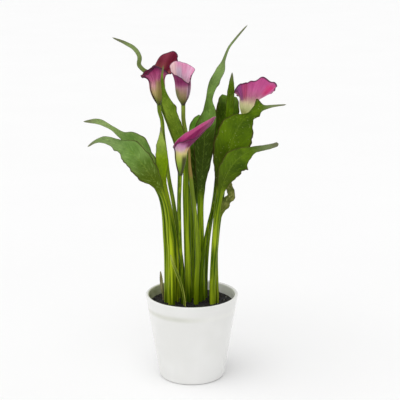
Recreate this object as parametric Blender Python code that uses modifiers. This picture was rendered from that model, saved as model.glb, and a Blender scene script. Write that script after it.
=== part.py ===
"""A potted calla lily: a white ceramic pot of soil with four flowers, eleven leaves,
a small curled leaf, a dry bract and a young shoot.

The pot stands on z = 0 with its axis on z, and the plant's front looks along -Y.
Sizes are written in millimetres and scaled to metres where each mesh is made.
"""

import math

import bpy
import numpy as np

MM = 0.001

# The pot: a straight taper from foot to rim, with a rounded foot edge and a thin lip.
POT_HEIGHT = 120.0
POT_RIM_RADIUS = 65.0
POT_FOOT_RADIUS = 46.0
POT_WALL = 4.5
POT_FLOOR = 6.0
POT_FOOT_ROUND = 3.0
POT_LIP_HEIGHT = 1.2
POT_STEPS = 48

# The soil fills the pot to this height. Each stalk stands in a blind hole in it.
SOIL_TOP = 107.0
TOUCH_GAP = 0.3
FOOT_BOTTOM = 98.0
FOOT_TOP = 109.0
HOLE_GAP = 0.4
HOLE_RISE = 5.0
HOLE_SIDES = 16

# Leaves. A blade's section rises from its midrib to its edges by this power of the
# distance across, and its waves reach their full height once it is this wide. The two
# edges wave out of step by the lag.
BLADE_THICKNESS = 0.9
RIB_SHARE = 0.35
FOLD_POWER = 1.5
FULL_WAVE_HALF_WIDTH = 8.0
EDGE_LAG = 1.3
STALK_ARC = math.radians(72.0)
SECTION_COLUMNS = 5
STALK_RINGS = 5
BLADE_RINGS = 20
CURVE_SAMPLES = 400

# Flowers. The two margins of a spathe start the seam angle apart at the neck and come
# to overlap over the first share of its length, and the roll lays one over the other.
SPATHE_THICKNESS = 0.8
SPATHE_ROLL = 0.75
SPATHE_ROLL_SHARE = 0.12
SPATHE_FOOT_RADIUS = 2.7
SPATHE_OVERLAP = 0.3
SPATHE_OVERLAP_SHARE = 0.2
SPATHE_SEAM = 0.12
SPATHE_COLUMNS = 23
SPATHE_ROWS = 11
SPATHE_PARTS = 60
TIP_SPREAD = 0.3
RIM_POINTS = 16
RIM_STEP = 2.0 * math.pi / RIM_POINTS
NECK_RADIUS = 1.5
NECK_LENGTH = 8.7
NECK_SHOULDER = 0.05
STEM_RUN = 9.0
STEM_RINGS = 12
STEM_SIDES = 2
SPADIX_LENGTH = 26.0
SPADIX_RADIUS = 2.1
SPADIX_SHARES = (0.0, 0.12, 0.5, 0.85, 0.96, 1.0)
SPADIX_WIDTHS = (0.75, 1.0, 1.0, 0.85, 0.55, 0.2)

# How far the funnel of every spathe leans outwards, in degrees, at each distance up it.
FUNNEL_DISTANCES = (0.0, 6.0, 16.0, 28.0, 40.0)
FUNNEL_LEANS = (8.0, 30.0, 22.0, 6.0, 4.0)

# Edges sharper than this stay crisp under the smooth shading.
CRISP_ANGLE = math.radians(50.0)

# Each leaf: where its stalk enters the soil, the stalk's radius there, which row is the
# last of the round stalk, how far the blade folds up (degrees), how its edges wave
# (height, number of waves, phase), and rows of x, y, z, half-width and turn.
LEAVES = {
    "leaf_tall_left": dict(
        foot=(-15, 18), radius=3.4, stalk=2, fold=16, wave=(1.2, 2, 0.5),
        rows=[(-19, 24, 191, 2.9, 0), (-18, 28, 248, 2.7, 0), (-19, 32, 312, 2.5, 0),
              (-31, 35, 358, 5, 0), (-45, 36, 395, 5.5, 0), (-52, 35, 413, 4, 0),
              (-59, 33, 425, 3.4, 20), (-67, 30, 431, 3.4, 40), (-72, 28, 438, 3.4, 30),
              (-71, 26, 449, 3.2, 10), (-76, 24, 459, 3, 0), (-89, 21, 468, 2.5, 0),
              (-107, 18, 476, 0.8, 0)]),
    "leaf_broad_left_back": dict(
        foot=(-31, -1), radius=3.5, stalk=1, fold=14, wave=(1.5, 2, 2.0),
        rows=[(-35, 0, 197, 3, 0), (-43, 4, 258, 3, 0), (-49, 5, 275, 5, 0), (-57, 6, 299, 11, 0),
              (-67, 6, 324, 16, 0), (-82, 6, 337, 13.5, 0), (-97, 5, 346, 5.5, 0),
              (-109, 4, 356, 3.8, 0), (-127, 3, 364, 4, 0), (-147, 1, 364, 0.8, 0)]),
    "leaf_broad_left_front": dict(
        foot=(-26, -13), radius=3.8, stalk=1, fold=16, wave=(1.8, 3, 0.0),
        rows=[(-30, -15, 202, 3.2, 0), (-38, -20, 262, 3.2, 0), (-45, -22, 280, 7, 0),
              (-57, -26, 298, 15, 0), (-70, -29, 317, 18, 0), (-83, -31, 331, 17, 0),
              (-97, -32, 339, 8, 0), (-113, -32, 345, 6, 0), (-127, -31, 343, 2.6, 0),
              (-139, -29, 335, 0.8, 0)]),
    "leaf_short_left": dict(
        foot=(-21, 3), radius=3.0, stalk=1, fold=18, wave=(0.8, 2, 1.0),
        rows=[(-24, -1, 198, 2.8, 0), (-35, -7, 263, 2.6, 0), (-39, -9, 285, 5, 0),
              (-40, -11, 313, 9, 0), (-41, -12, 334, 7, 0), (-41, -12, 349, 2.5, 0),
              (-41, -12, 360, 0.8, 0)]),
    "leaf_centre_left": dict(
        foot=(-4, 0), radius=4.3, stalk=2, fold=20, wave=(1.0, 2, 0.0),
        rows=[(-6, -3, 220, 3.9, 0), (-7, -5, 270, 3.3, 0), (-8, -7, 296, 3, 0),
              (-11, -8, 320, 7, 0), (-16, -8, 343, 9, 0), (-24, -9, 368, 9, 0),
              (-32, -10, 390, 8, 0), (-37, -12, 409, 3, 0), (-39, -15, 425, 2, 0),
              (-37, -20, 443, 0.8, 0)]),
    "leaf_tall_right": dict(
        foot=(15, 10), radius=4.2, stalk=1, fold=16, wave=(1.6, 3, 1.2),
        rows=[(13, 11, 209, 4, 0), (12, 11, 245, 4.1, 0), (13, 11, 273, 6, 0), (15, 10, 302, 11, 0),
              (17, 10, 326, 14, 0), (19, 11, 351, 15, 0), (24, 12, 375, 10, 0), (24, 14, 394, 5, 0),
              (28, 16, 411, 6.5, 0), (39, 20, 431, 6.5, 0), (45, 23, 445, 3, 0),
              (52, 26, 462, 2.2, 0), (62, 28, 476, 2, 0), (76, 29, 492, 0.8, 0)]),
    "leaf_broad_right_upper": dict(
        foot=(29, 3), radius=4.4, stalk=1, fold=12, wave=(2.0, 3, 0.6),
        rows=[(32, 2, 197, 4, 0), (38, 2, 261, 4.6, 0), (41, 2, 278, 8, 0), (46, 1, 304, 17, 0),
              (54, 0, 331, 25, 0), (62, -1, 354, 24, 0), (74, -2, 371, 14, 0),
              (88, -3, 381, 6.5, 0), (104, -3, 385, 2.5, 0), (128, -3, 388, 0.8, 0)]),
    "leaf_broad_right_lower": dict(
        foot=(30, -10), radius=3.8, stalk=1, fold=14, wave=(1.5, 2, 2.4),
        rows=[(33, -14, 201, 3.2, 0), (39, -18, 263, 3.2, 0), (43, -20, 282, 8, 0),
              (51, -22, 302, 15.5, 0), (61, -24, 316, 17.5, 0), (73, -25, 325, 10.5, 0),
              (86, -25, 331, 5, 0), (102, -24, 334, 3.8, 0), (117, -23, 338, 3, 0)]),
    "leaf_centre_back": dict(
        foot=(1, 16), radius=3.6, stalk=1, fold=10, wave=(1.2, 3, 0.0),
        rows=[(1, 21, 192, 3.6, 0), (-1, 24, 245, 3.6, 0), (5, 25, 277, 8, 0), (11, 26, 306, 13, 0),
              (13, 27, 330, 15, 0), (15, 31, 349, 15, 0), (18, 40, 358, 13, 0),
              (20, 55, 359, 10, 0), (23, 70, 350, 6, 0), (26, 86, 334, 1, 0)]),
    "leaf_right_back": dict(
        foot=(19, 21), radius=3.4, stalk=1, fold=10, wave=(1.2, 3, 1.5),
        rows=[(23, 27, 193, 3.2, 0), (31, 31, 243, 3, 0), (39, 35, 290, 7, 0), (41, 37, 318, 12, 0),
              (45, 38, 346, 15, 0), (48, 40, 370, 15, 0), (50, 45, 383, 14, 0),
              (52, 56, 390, 11, 0), (53, 71, 386, 7, 0), (55, 88, 373, 1, 0)]),
    "leaf_rolled": dict(
        foot=(32, 13), radius=2.8, stalk=2, fold=28, wave=(0.0, 1, 0.0),
        rows=[(37, 11, 209, 2.5, 0), (43, 10, 259, 2.5, 0), (47, 9, 309, 2.8, 0),
              (50, 9, 351, 4.8, 0), (52, 9, 379, 6.2, 0), (53, 9, 399, 5.8, 0),
              (54, 10, 414, 4.2, 0), (55, 10, 430, 0.8, 0)]),
    "leaf_curled": dict(
        foot=(36, -3), radius=2.2, stalk=1, fold=30, wave=(0.0, 1, 0.0),
        rows=[(36, -6, 206, 1.8, 0), (39, -8, 231, 2, 0), (42, -10, 247, 5, 0),
              (47, -11, 256, 6.5, 0), (52, -12, 263, 6.5, 0), (54, -13, 269, 5, 0),
              (51, -14, 273, 3.5, 0), (46, -14, 274, 1, 0)]),
    "bract_left": dict(
        foot=(-40, 6), radius=1.4, stalk=0, fold=20, wave=(0.0, 1, 0.0),
        rows=[(-42, 6, 125, 2.2, 0), (-43, 6, 137, 2.4, 0), (-44, 6, 150, 0.8, 0)]),
    "shoot_front": dict(
        foot=(-10, -20), radius=1.4, stalk=2, fold=20, wave=(0.0, 1, 0.0),
        rows=[(-14, -21, 137, 1.4, 0), (-20, -22, 155, 1.4, 0), (-26, -22, 171, 1.3, 0),
              (-29, -21, 182, 0.8, 0)]),
}

# Each flower: its stem's foot, radii and path, then the spathe's neck, which way the
# spathe leans, where its margins overlap (degrees from +X towards +Y), how wide its
# funnel is, where its tip points and how far the tip stands out, and where the flare
# starts and over what length it grows. The rim is given at sixteen directions, evenly on
# from +X towards +Y: the length up the spathe, and the lean outwards there.
FLOWERS = {
    "flower_1": dict(
        foot=(-11, 9), radii=(3.0, 2.3),
        path=[(-19, 6, 217), (-23, 5, 254), (-30, 4, 285), (-35, 5, 317), (-39, 8, 345),
              (-41, 11, 367)],
        neck=(-44, 13, 385), lean=(-0.07, 0.0), seam=205, girth=0.8,
        tip=(35, 5), flare=(30, 24),
        rim=[(66, 47), (69, 44), (74, 38), (77, 36), (62, 20), (55, 6), (52, 12), (49, 42),
             (48, 86), (48, 90), (48, 68), (52, 33), (54, 14), (60, 58), (56, 78), (59, 62)]),
    "flower_2": dict(
        foot=(6, -10), radii=(3.5, 2.3),
        path=[(7, -4, 213), (3, 0, 248), (0, 1, 283), (-2, 1, 304), (-4, 0, 329), (-8, -3, 350),
              (-11, -6, 370)],
        neck=(-12, -8, 388), lean=(0.0, 0.0), seam=300, girth=0.88,
        tip=(45, 3), flare=(22, 24),
        rim=[(38, -12), (42, 13), (49, 46), (58, 44), (60, 24), (60, 10), (60, 10), (58, 14),
             (54, 19), (50, 23), (47, 30), (44, 31), (38, 6), (34, -9), (32, -14), (34, -15)]),
    "flower_3": dict(
        foot=(-13, -8), radii=(2.4, 1.9),
        path=[(-16, -22, 225), (-17, -30, 262)],
        neck=(-16, -38, 298), lean=(0.04, 0.0), seam=180, girth=0.62,
        tip=(0, 4), flare=(28, 16),
        rim=[(89, 39), (86, 39), (71, 37), (63, 39), (54, 35), (48, 23), (44, 15), (41, 15),
             (39, 16), (39, 18), (42, 21), (47, 28), (52, 38), (57, 41), (62, 42), (78, 42)]),
    "flower_4": dict(
        foot=(12, 0), radii=(2.8, 2.3),
        path=[(20, 3, 201), (29, 10, 238), (40, 19, 269), (53, 22, 307), (67, 23, 340)],
        neck=(74, 24, 361), lean=(0.15, 0.0), seam=130, girth=0.88,
        tip=(300, 2), flare=(29, 8),
        rim=[(61, 48), (58, 60), (57, 75), (57, 84), (43, 49), (39, 58), (40, 82), (42, 70),
             (45, 48), (50, 32), (56, 24), (58, 14), (66, 29), (70, 24), (69, 30), (69, 39)]),
}

# Each material: its colour and its roughness.
MATERIALS = {
    "glazed_white": ((0.82, 0.82, 0.80), 0.25),
    "soil": ((0.025, 0.018, 0.012), 0.95),
    "leaf_green": ((0.10, 0.22, 0.02), 0.45),
    "stem_green": ((0.16, 0.30, 0.04), 0.45),
    "spathe_purple": ((0.42, 0.04, 0.22), 0.5),
    "spadix_yellow": ((0.75, 0.50, 0.06), 0.7),
    "dry_bract": ((0.40, 0.27, 0.12), 0.8),
}


def smoothstep(value):
    value = np.clip(value, 0.0, 1.0)
    return value * value * (3.0 - 2.0 * value)


def material(name):
    made = bpy.data.materials.get(name)
    if made is None:
        colour, roughness = MATERIALS[name]
        made = bpy.data.materials.new(name)
        made.use_nodes = True
        shader = made.node_tree.nodes["Principled BSDF"]
        shader.inputs["Base Color"].default_value = (*colour, 1.0)
        shader.inputs["Roughness"].default_value = roughness
        shader.inputs["Metallic"].default_value = 0.0
    return made


def cubic(knots, values, samples, limited=False, upright=False):
    """Smooth curve through values at knots. A limited one never swings past them, and
    an upright one leaves its first two points straight up."""
    knots = np.asarray(knots, float)
    values = np.asarray(values, float)
    column = (-1,) + (1,) * (values.ndim - 1)
    steps = np.diff(knots).reshape(column)
    slopes = np.diff(values, axis=0) / steps
    tangents = np.concatenate([slopes[:1], slopes[:-1], slopes[-1:]])
    before, after = slopes[:-1], slopes[1:]
    if limited:
        total = np.where(before + after == 0.0, 1.0, before + after)
        tangents[1:-1] = np.where(before * after > 0.0, 2.0 * before * after / total, 0.0)
    else:
        tangents[1:-1] = (before * steps[1:] + after * steps[:-1]) / (steps[:-1] + steps[1:])
    if upright:
        tangents[:2] = (0.0, 0.0, 1.0)
    cell = np.clip(np.searchsorted(knots, samples, "right") - 1, 0, len(knots) - 2)
    step = steps[cell]
    share = (np.asarray(samples, float) - knots[cell]).reshape(column) / step
    square, cube = share**2, share**3
    return (
        (2 * cube - 3 * square + 1) * values[cell]
        + (cube - 2 * square + share) * step * tangents[cell]
        + (3 * square - 2 * cube) * values[cell + 1]
        + (cube - square) * step * tangents[cell + 1]
    )


def unit(vectors):
    return vectors / np.linalg.norm(vectors, axis=-1, keepdims=True)


def distances(places):
    """How far along the line through these places each of them is."""
    steps = np.linalg.norm(np.diff(np.array(places, float), axis=0), axis=1)
    return np.concatenate([[0.0], np.cumsum(steps)])


def add_object(name, data, slot):
    data.materials.append(material(slot))
    made = bpy.data.objects.new(name, data)
    plant.objects.link(made)
    return made


def mesh_object(name, points, faces, slot):
    """A smooth-shaded object from points in millimetres and faces that turn outwards."""
    mesh = bpy.data.meshes.new(name)
    mesh.from_pydata((np.asarray(points) * MM).tolist(), [], faces)
    mesh.shade_smooth()
    mesh.set_sharp_from_angle(angle=CRISP_ANGLE)
    return add_object(name, mesh, slot)


def sheet(name, front, back, slot):
    """One closed solid from two grids of points with the same rows and columns. Both
    faces of the sheet are split into triangles alike, so they stay parallel."""
    rows, columns = front.shape[:2]
    points = np.concatenate([front.reshape(-1, 3), back.reshape(-1, 3)])
    other = rows * columns
    faces = []

    def strip(first, second):
        for a, b in zip(zip(first, first[1:]), zip(second, second[1:])):
            faces.append((a[0], a[1], b[1]))
            faces.append((a[0], b[1], b[0]))

    index = np.arange(other).reshape(rows, columns).tolist()
    for row in range(rows - 1):
        strip(index[row], index[row + 1])
        for a, b, c in faces[-2 * (columns - 1):]:
            faces.append((c + other, b + other, a + other))
    border = index[0][:-1] + [line[-1] for line in index[:-1]]
    border += index[-1][:0:-1] + [line[0] for line in index[:0:-1]] + index[0][:1]
    strip([point + other for point in border], border)
    corners = points[np.array(faces)]
    if np.linalg.det(corners).sum() < 0.0:
        faces = [face[::-1] for face in faces]
    return mesh_object(name, points, faces, slot)


def frames(rows):
    """Side and front directions along a line of points, carried up it without twisting.
    At the soil the front looks along -Y."""
    along = unit(np.gradient(rows, axis=0))
    fronts = np.empty_like(rows)
    front = np.array((0.0, -1.0, 0.0))
    for place, direction in enumerate(along):
        front = unit(front - direction * front.dot(direction))
        fronts[place] = front
    return np.cross(along, fronts), fronts


def leaf(name, foot, radius, stalk, fold, wave, rows, slot="leaf_green"):
    """A round stalk that opens into a folded, waved blade with a drawn-out tip."""
    path = [(*foot, FOOT_BOTTOM), (*foot, FOOT_TOP)] + [row[:3] for row in rows]
    widths = [radius, radius] + [row[3] for row in rows]
    turns = [0.0, 0.0] + [row[4] for row in rows]
    knots = distances(path)
    opening, opened = knots[stalk + 2], knots[stalk + 3]

    samples = np.linspace(0.0, knots[-1], CURVE_SAMPLES)
    line = cubic(knots, path, samples, upright=True)
    sides, fronts = frames(line)

    stalk_rings = np.linspace(FOOT_TOP - FOOT_BOTTOM, opening, STALK_RINGS)
    blade_rings = np.linspace(opening, knots[-1], BLADE_RINGS)
    rings = np.concatenate([[0.0], stalk_rings[:-1], blade_rings])
    centre, side, front = (
        np.stack([np.interp(rings, samples, part) for part in grid.T], axis=1)[:, None]
        for grid in (line, sides, fronts)
    )
    width = cubic(knots, widths, rings, limited=True)[:, None]
    turn = np.radians(cubic(knots, turns, rings, limited=True))[:, None, None]
    side, front = (
        side * np.cos(turn) - front * np.sin(turn),
        front * np.cos(turn) + side * np.sin(turn),
    )

    across = np.linspace(-1.0, 1.0, SECTION_COLUMNS)[None, :]
    blade = smoothstep((rings - opening) / (opened - opening))[:, None]
    share = np.clip((rings - opening) / (knots[-1] - opening), 0.0, 1.0)[:, None]
    height, count, phase = wave
    fold = math.radians(fold)
    lift = width * np.abs(across) ** FOLD_POWER * math.sin(fold)
    ripple = np.sin(2.0 * math.pi * count * share + phase + (across < 0.0) * EDGE_LAG)
    full = np.minimum(width / FULL_WAVE_HALF_WIDTH, 1.0)
    lift = lift + height * full * across**2 * ripple
    rib = RIB_SHARE * radius * (1.0 - share) * (across == 0.0)

    ring_angle = math.pi / 2.0 - across * STALK_ARC
    x = width * (blade * across * math.cos(fold) + (1.0 - blade) * np.cos(ring_angle))
    round_half = (1.0 - blade) * width * np.sin(ring_angle)
    top = blade * (lift + BLADE_THICKNESS / 2.0) + round_half
    bottom = blade * (lift - BLADE_THICKNESS / 2.0 - rib) - round_half
    middle = centre + side * x[..., None]
    return sheet(
        name, middle + front * top[..., None], middle + front * bottom[..., None], slot
    )


def rod(name, points, radii, slot):
    """A round curve object through points, with the radius given at each."""
    curve = bpy.data.curves.new(name, "CURVE")
    curve.dimensions = "3D"
    curve.bevel_depth = MM
    curve.bevel_resolution = STEM_SIDES
    curve.use_fill_caps = True
    line = curve.splines.new("POLY")
    line.points.add(len(points) - 1)
    for point, place, radius in zip(line.points, points, radii):
        point.co = (*(np.array(place) * MM), 1.0)
        point.radius = radius
    return add_object(name, curve, slot)


def flower_axes(lean):
    """The spathe's own directions: up its axis, and the two across it nearest +X and +Y."""
    axis = unit(np.array((*lean, 1.0)))
    right = unit(np.array((1.0, 0.0, 0.0)) - axis * axis[0])
    return axis, right, np.cross(axis, right)


def stem(name, foot, radii, path, neck, axis):
    """A stem that stands in the soil and steps down to a thin neck inside the spathe."""
    neck = np.array(neck, float)
    places = [(*foot, FOOT_BOTTOM), (*foot, FOOT_TOP), *path]
    places += [neck - STEM_RUN * axis, neck - TOUCH_GAP * axis]
    knots = distances(places)
    samples = np.linspace(FOOT_TOP - FOOT_BOTTOM, knots[-2], STEM_RINGS)
    samples = np.concatenate([[0.0], samples, knots[-1:]])
    line = cubic(knots, places, samples, upright=True)
    shrink = np.interp(samples, (knots[1], knots[-1]), radii)
    shoulder = neck - (TOUCH_GAP - NECK_SHOULDER) * axis
    end = neck + (NECK_LENGTH - TOUCH_GAP) * axis
    return rod(
        name, [*line, shoulder, end], [*shrink, NECK_RADIUS, NECK_RADIUS], "stem_green"
    )


def spadix(name, neck, axis):
    """The yellow spike, standing on the end of the stem inside the funnel."""
    start = np.array(neck, float) + NECK_LENGTH * axis
    points = [start + share * SPADIX_LENGTH * axis for share in SPADIX_SHARES]
    radii = [SPADIX_RADIUS * width for width in SPADIX_WIDTHS]
    return rod(name, points, radii, "spadix_yellow")


def around_rim(values, angle):
    """Smooth closed curve through sixteen values, evenly round the rim."""
    wrapped = [values[index % RIM_POINTS] for index in range(-2, RIM_POINTS + 3)]
    knots = [index * RIM_STEP for index in range(-2, RIM_POINTS + 3)]
    turned = np.mod(angle, 2.0 * math.pi)
    return cubic(knots, wrapped, turned.ravel()).reshape(turned.shape)


def spathe(name, neck, lean, seam, girth, tip, flare, rim):
    """A rolled sheet round the neck: a funnel whose rim flares and rises to a tip."""
    axis, right, away = flower_axes(lean)
    up = np.linspace(0.0, 1.0, SPATHE_ROWS)
    overlapping = smoothstep(up / SPATHE_OVERLAP_SHARE)
    reach = math.pi - SPATHE_SEAM + (SPATHE_SEAM + SPATHE_OVERLAP) * overlapping
    theta = reach[:, None] * np.linspace(-1.0, 1.0, SPATHE_COLUMNS)[None, :]
    angle = theta + math.radians(seam) + math.pi
    tip_angle, tip_length = tip
    from_tip = np.mod(angle - math.radians(tip_angle) + math.pi, 2.0 * math.pi) - math.pi
    length = around_rim([point[0] for point in rim], angle)
    length = length + tip_length * np.exp(-((from_tip / TIP_SPREAD) ** 2))
    rim_lean = around_rim([point[1] for point in rim], angle)
    flare_start, flare_length = flare

    def lean_at(distance):
        funnel = girth * np.interp(distance, FUNNEL_DISTANCES, FUNNEL_LEANS)
        flared = smoothstep((distance - flare_start) / flare_length)
        return np.radians(funnel + (rim_lean - funnel) * flared)

    radius = np.full_like(theta, SPATHE_FOOT_RADIUS)
    height = np.zeros_like(theta)
    for part in range(SPATHE_PARTS):
        step = up[:, None] * length / SPATHE_PARTS
        direction = lean_at((part + 0.5) * step)
        radius += step * np.sin(direction)
        height += step * np.cos(direction)
    tilt = lean_at(up[:, None] * length)
    roll = SPATHE_ROLL * theta / math.pi * smoothstep(up / SPATHE_ROLL_SHARE)[:, None]

    def surface(offset):
        out = (radius + offset * np.cos(tilt))[..., None]
        along = (height - offset * np.sin(tilt))[..., None]
        around = right * np.cos(angle)[..., None] + away * np.sin(angle)[..., None]
        return np.array(neck, float) + axis * along + around * out

    return sheet(name, surface(roll), surface(roll - SPATHE_THICKNESS), "spathe_purple")


def lathe(name, profile, slot):
    """A solid of revolution about z. The profile runs down its outer side."""
    mesh = bpy.data.meshes.new(name)
    points = [(radius * MM, 0.0, height * MM) for radius, height in profile]
    mesh.from_pydata(points, [(i, i + 1) for i in range(len(points) - 1)], [])
    made = add_object(name, mesh, slot)
    turned = made.modifiers.new("Screw", "SCREW")
    turned.steps = POT_STEPS
    turned.render_steps = POT_STEPS
    turned.use_merge_vertices = True
    turned.merge_threshold = 0.00001
    turned.use_smooth_shade = True
    return made


def pot_radius(height):
    return POT_FOOT_RADIUS + (POT_RIM_RADIUS - POT_FOOT_RADIUS) * height / POT_HEIGHT


def make_pot():
    inner_floor = pot_radius(POT_FLOOR) - POT_WALL
    profile = [(0.0, POT_FLOOR), (inner_floor - POT_FOOT_ROUND, POT_FLOOR)]
    profile.append((inner_floor, POT_FLOOR + POT_FOOT_ROUND))
    lip = POT_WALL / 2.0
    lip_low = POT_HEIGHT - POT_LIP_HEIGHT
    middle = pot_radius(lip_low) - lip
    for degrees in (180, 135, 90, 45, 0):
        angle = math.radians(degrees)
        height = lip_low + POT_LIP_HEIGHT * math.sin(angle)
        profile.append((middle + lip * math.cos(angle), height))
    for degrees in (0, 30, 60, 90):
        angle = math.radians(degrees)
        drop = POT_FOOT_ROUND * math.sin(angle)
        inset = POT_FOOT_ROUND * (1.0 - math.cos(angle))
        profile.append((pot_radius(POT_FOOT_ROUND) - inset, POT_FOOT_ROUND - drop))
    profile.append((0.0, 0.0))
    return lathe("pot", profile, "glazed_white")


def make_soil():
    wall = POT_WALL + TOUCH_GAP
    floor = POT_FLOOR + TOUCH_GAP
    corner = pot_radius(POT_FLOOR) - wall - TOUCH_GAP
    profile = [(0.0, SOIL_TOP), (pot_radius(SOIL_TOP) - wall, SOIL_TOP)]
    profile.append((corner, floor + POT_FOOT_ROUND))
    profile.append((corner - POT_FOOT_ROUND, floor))
    profile.append((0.0, floor))
    soil = lathe("soil", profile, "soil")
    cut = soil.modifiers.new("Stalk holes", "BOOLEAN")
    cut.operand_type = "COLLECTION"
    cut.collection = cutters
    cut.solver = "EXACT"
    return soil


def hole_cutter(name, foot, radius):
    """A plain upright hole from just under a stalk's foot to above the soil."""
    low = FOOT_BOTTOM - HOLE_GAP
    depth = SOIL_TOP + HOLE_RISE - low
    bpy.ops.mesh.primitive_cylinder_add(
        vertices=HOLE_SIDES,
        radius=(radius + HOLE_GAP) * MM,
        depth=depth * MM,
        location=(foot[0] * MM, foot[1] * MM, (low + depth / 2.0) * MM),
    )
    made = bpy.context.object
    made.name = name + "_hole"
    for collection in list(made.users_collection):
        collection.objects.unlink(made)
    cutters.objects.link(made)
    made.display_type = "WIRE"
    made.hide_render = True


for old in list(bpy.data.objects):
    bpy.data.objects.remove(old, do_unlink=True)
plant = bpy.data.collections.new("potted_calla_lily")
cutters = bpy.data.collections.new("cutters")
bpy.context.scene.collection.children.link(plant)
bpy.context.scene.collection.children.link(cutters)
cutters.hide_render = True

for leaf_name, shape in LEAVES.items():
    hole_cutter(leaf_name, shape["foot"], shape["radius"])
    leaf(leaf_name, **shape, slot="dry_bract" if leaf_name == "bract_left" else "leaf_green")

for flower_name, shape in FLOWERS.items():
    hole_cutter(flower_name, shape["foot"], shape["radii"][0])
    shape = dict(shape)
    foot, radii, path = shape.pop("foot"), shape.pop("radii"), shape.pop("path")
    spathe_axis = flower_axes(shape["lean"])[0]
    stem(flower_name + "_stem", foot, radii, path, shape["neck"], spathe_axis)
    spadix(flower_name + "_spadix", shape["neck"], spathe_axis)
    spathe(flower_name + "_spathe", **shape)

make_pot()
make_soil()
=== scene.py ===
# %% [markdown]
# # A potted calla lily
#
# The plant is a clump of long leaves and rolled purple-pink flowers in a white glazed pot.
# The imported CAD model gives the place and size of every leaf, stem, flower, the pot and the
# soil. This notebook loads that model as a fixed frame and then dresses it. Each solid is
# replaced by a finer piece of the same form, and each surface gets a finish of its own.

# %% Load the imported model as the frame
import math

import bpy
import numpy as np
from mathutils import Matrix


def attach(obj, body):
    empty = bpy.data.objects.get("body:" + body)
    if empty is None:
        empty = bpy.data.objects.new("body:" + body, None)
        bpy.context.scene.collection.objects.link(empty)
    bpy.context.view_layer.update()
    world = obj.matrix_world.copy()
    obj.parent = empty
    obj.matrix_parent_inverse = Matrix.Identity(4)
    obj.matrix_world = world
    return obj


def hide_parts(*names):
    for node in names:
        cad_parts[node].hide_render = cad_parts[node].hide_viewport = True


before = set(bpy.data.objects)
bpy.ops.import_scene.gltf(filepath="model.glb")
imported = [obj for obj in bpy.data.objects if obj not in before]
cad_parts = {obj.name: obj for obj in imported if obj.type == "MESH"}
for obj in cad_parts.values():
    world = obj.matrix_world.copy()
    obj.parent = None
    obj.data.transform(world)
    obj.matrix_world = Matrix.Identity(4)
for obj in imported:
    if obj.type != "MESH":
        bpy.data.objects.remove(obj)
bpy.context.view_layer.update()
print("CAD nodes:", len(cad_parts))

# %% [markdown]
# ## The camera
#
# A plant catalogue picture is taken from a few steps away with a long lens, looking a little
# down into the pot. The camera comes first, so that every later piece can be judged in its
# view. The lens is worked out from the angle that one picture element covers.

# %% Place the camera
MM = 0.001
PIXEL_ANGLE = 0.000894
PICTURE_WIDTH = 400
LOOK_DOWN = math.radians(13.65)
CAMERA_PLACE = (0.0115, -1.5, 0.619)

camera_data = bpy.data.cameras.new("Camera")
camera_data.sensor_width = 36.0
camera_data.lens = camera_data.sensor_width / (PICTURE_WIDTH * PIXEL_ANGLE)
camera = bpy.data.objects.new("Camera", camera_data)
camera.location = CAMERA_PLACE
camera.rotation_euler = (math.pi / 2.0 - LOOK_DOWN, 0.0, 0.0)
bpy.context.scene.collection.objects.link(camera)
bpy.context.scene.camera = camera
print("lens:", round(camera_data.lens, 1), "mm")

# %% [markdown]
# ## Nodes for the finishes
#
# Every finish is a Principled shader with a few texture nodes in front of it. A small
# function that adds a node and fills its sockets keeps each recipe as short as a sentence.
# A socket takes either a plain value or another node's output, which is then linked. All
# the helpers work on the finish that was started last, so no recipe has to name it again.

# %% Start a finish and add nodes to it
tree = None


def shader_sockets():
    return tree.nodes["Principled BSDF"].inputs


def start_finish(name, **constants):
    """A new material, with constant values set on the sockets of its shader."""
    global tree
    made = bpy.data.materials.new(name)
    made.use_nodes = True
    tree = made.node_tree
    for socket, value in constants.items():
        shader_sockets()[socket.replace("_", " ")].default_value = value
    return made


def fill(socket, value):
    if isinstance(value, bpy.types.NodeSocket):
        tree.links.new(value, socket)
    else:
        socket.default_value = value


def add_node(kind, sockets=None, **settings):
    """A shader node with its settings and with its sockets filled, by name or number."""
    made = tree.nodes.new("ShaderNode" + kind)
    for setting, value in settings.items():
        setattr(made, setting, value)
    for socket, value in (sockets or {}).items():
        fill(made.inputs[socket], value)
    return made


print("finishes can be started")

# %% Colours, sums and blends
def colour(red, green, blue):
    """A colour read as 0 to 255 on screen, turned into the linear values of a shader."""
    shares = [value / 255.0 for value in (red, green, blue)]
    linear = [((s + 0.055) / 1.055) ** 2.4 if s > 0.04045 else s / 12.92 for s in shares]
    return (*linear, 1.0)


def calculate(operation, *values):
    """One sum on numbers, such as ADD or DIVIDE."""
    return add_node("Math", dict(enumerate(values)), operation=operation).outputs[0]


def times(first, second):
    return calculate("MULTIPLY", first, second)


def between(value, low, high, start=0.0, end=1.0):
    """Turns values from low to high into a smooth share from start to end."""
    sockets = {0: value, 1: low, 2: high, 3: start, 4: end}
    made = add_node("MapRange", sockets, interpolation_type="SMOOTHSTEP")
    return made.outputs[0]


def blend(share, first, second):
    sockets = {0: share, 6: first, 7: second}
    return add_node("Mix", sockets, data_type="RGBA").outputs[2]


def two_tone(share, first, second):
    """Screen colours: the first where share is 0, the second where it is 1."""
    return blend(share, colour(*first), colour(*second))


def tint(face, share, shade, strength=None):
    """Lays a screen colour over a face where share says so, at most as much as strength."""
    if strength is not None:
        share = times(share, strength)
    return blend(share, face, colour(*shade))


def ramp(value, stops):
    """Screen colours at places from 0 to 1, blended in between."""
    made = add_node("ValToRGB", {0: value})
    elements = made.color_ramp.elements
    elements[0].position, elements[1].position = stops[0][0], stops[-1][0]
    elements[0].color, elements[1].color = colour(*stops[0][1]), colour(*stops[-1][1])
    for at, shade in stops[1:-1]:
        elements.new(at).color = colour(*shade)
    return made.outputs[0]


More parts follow.
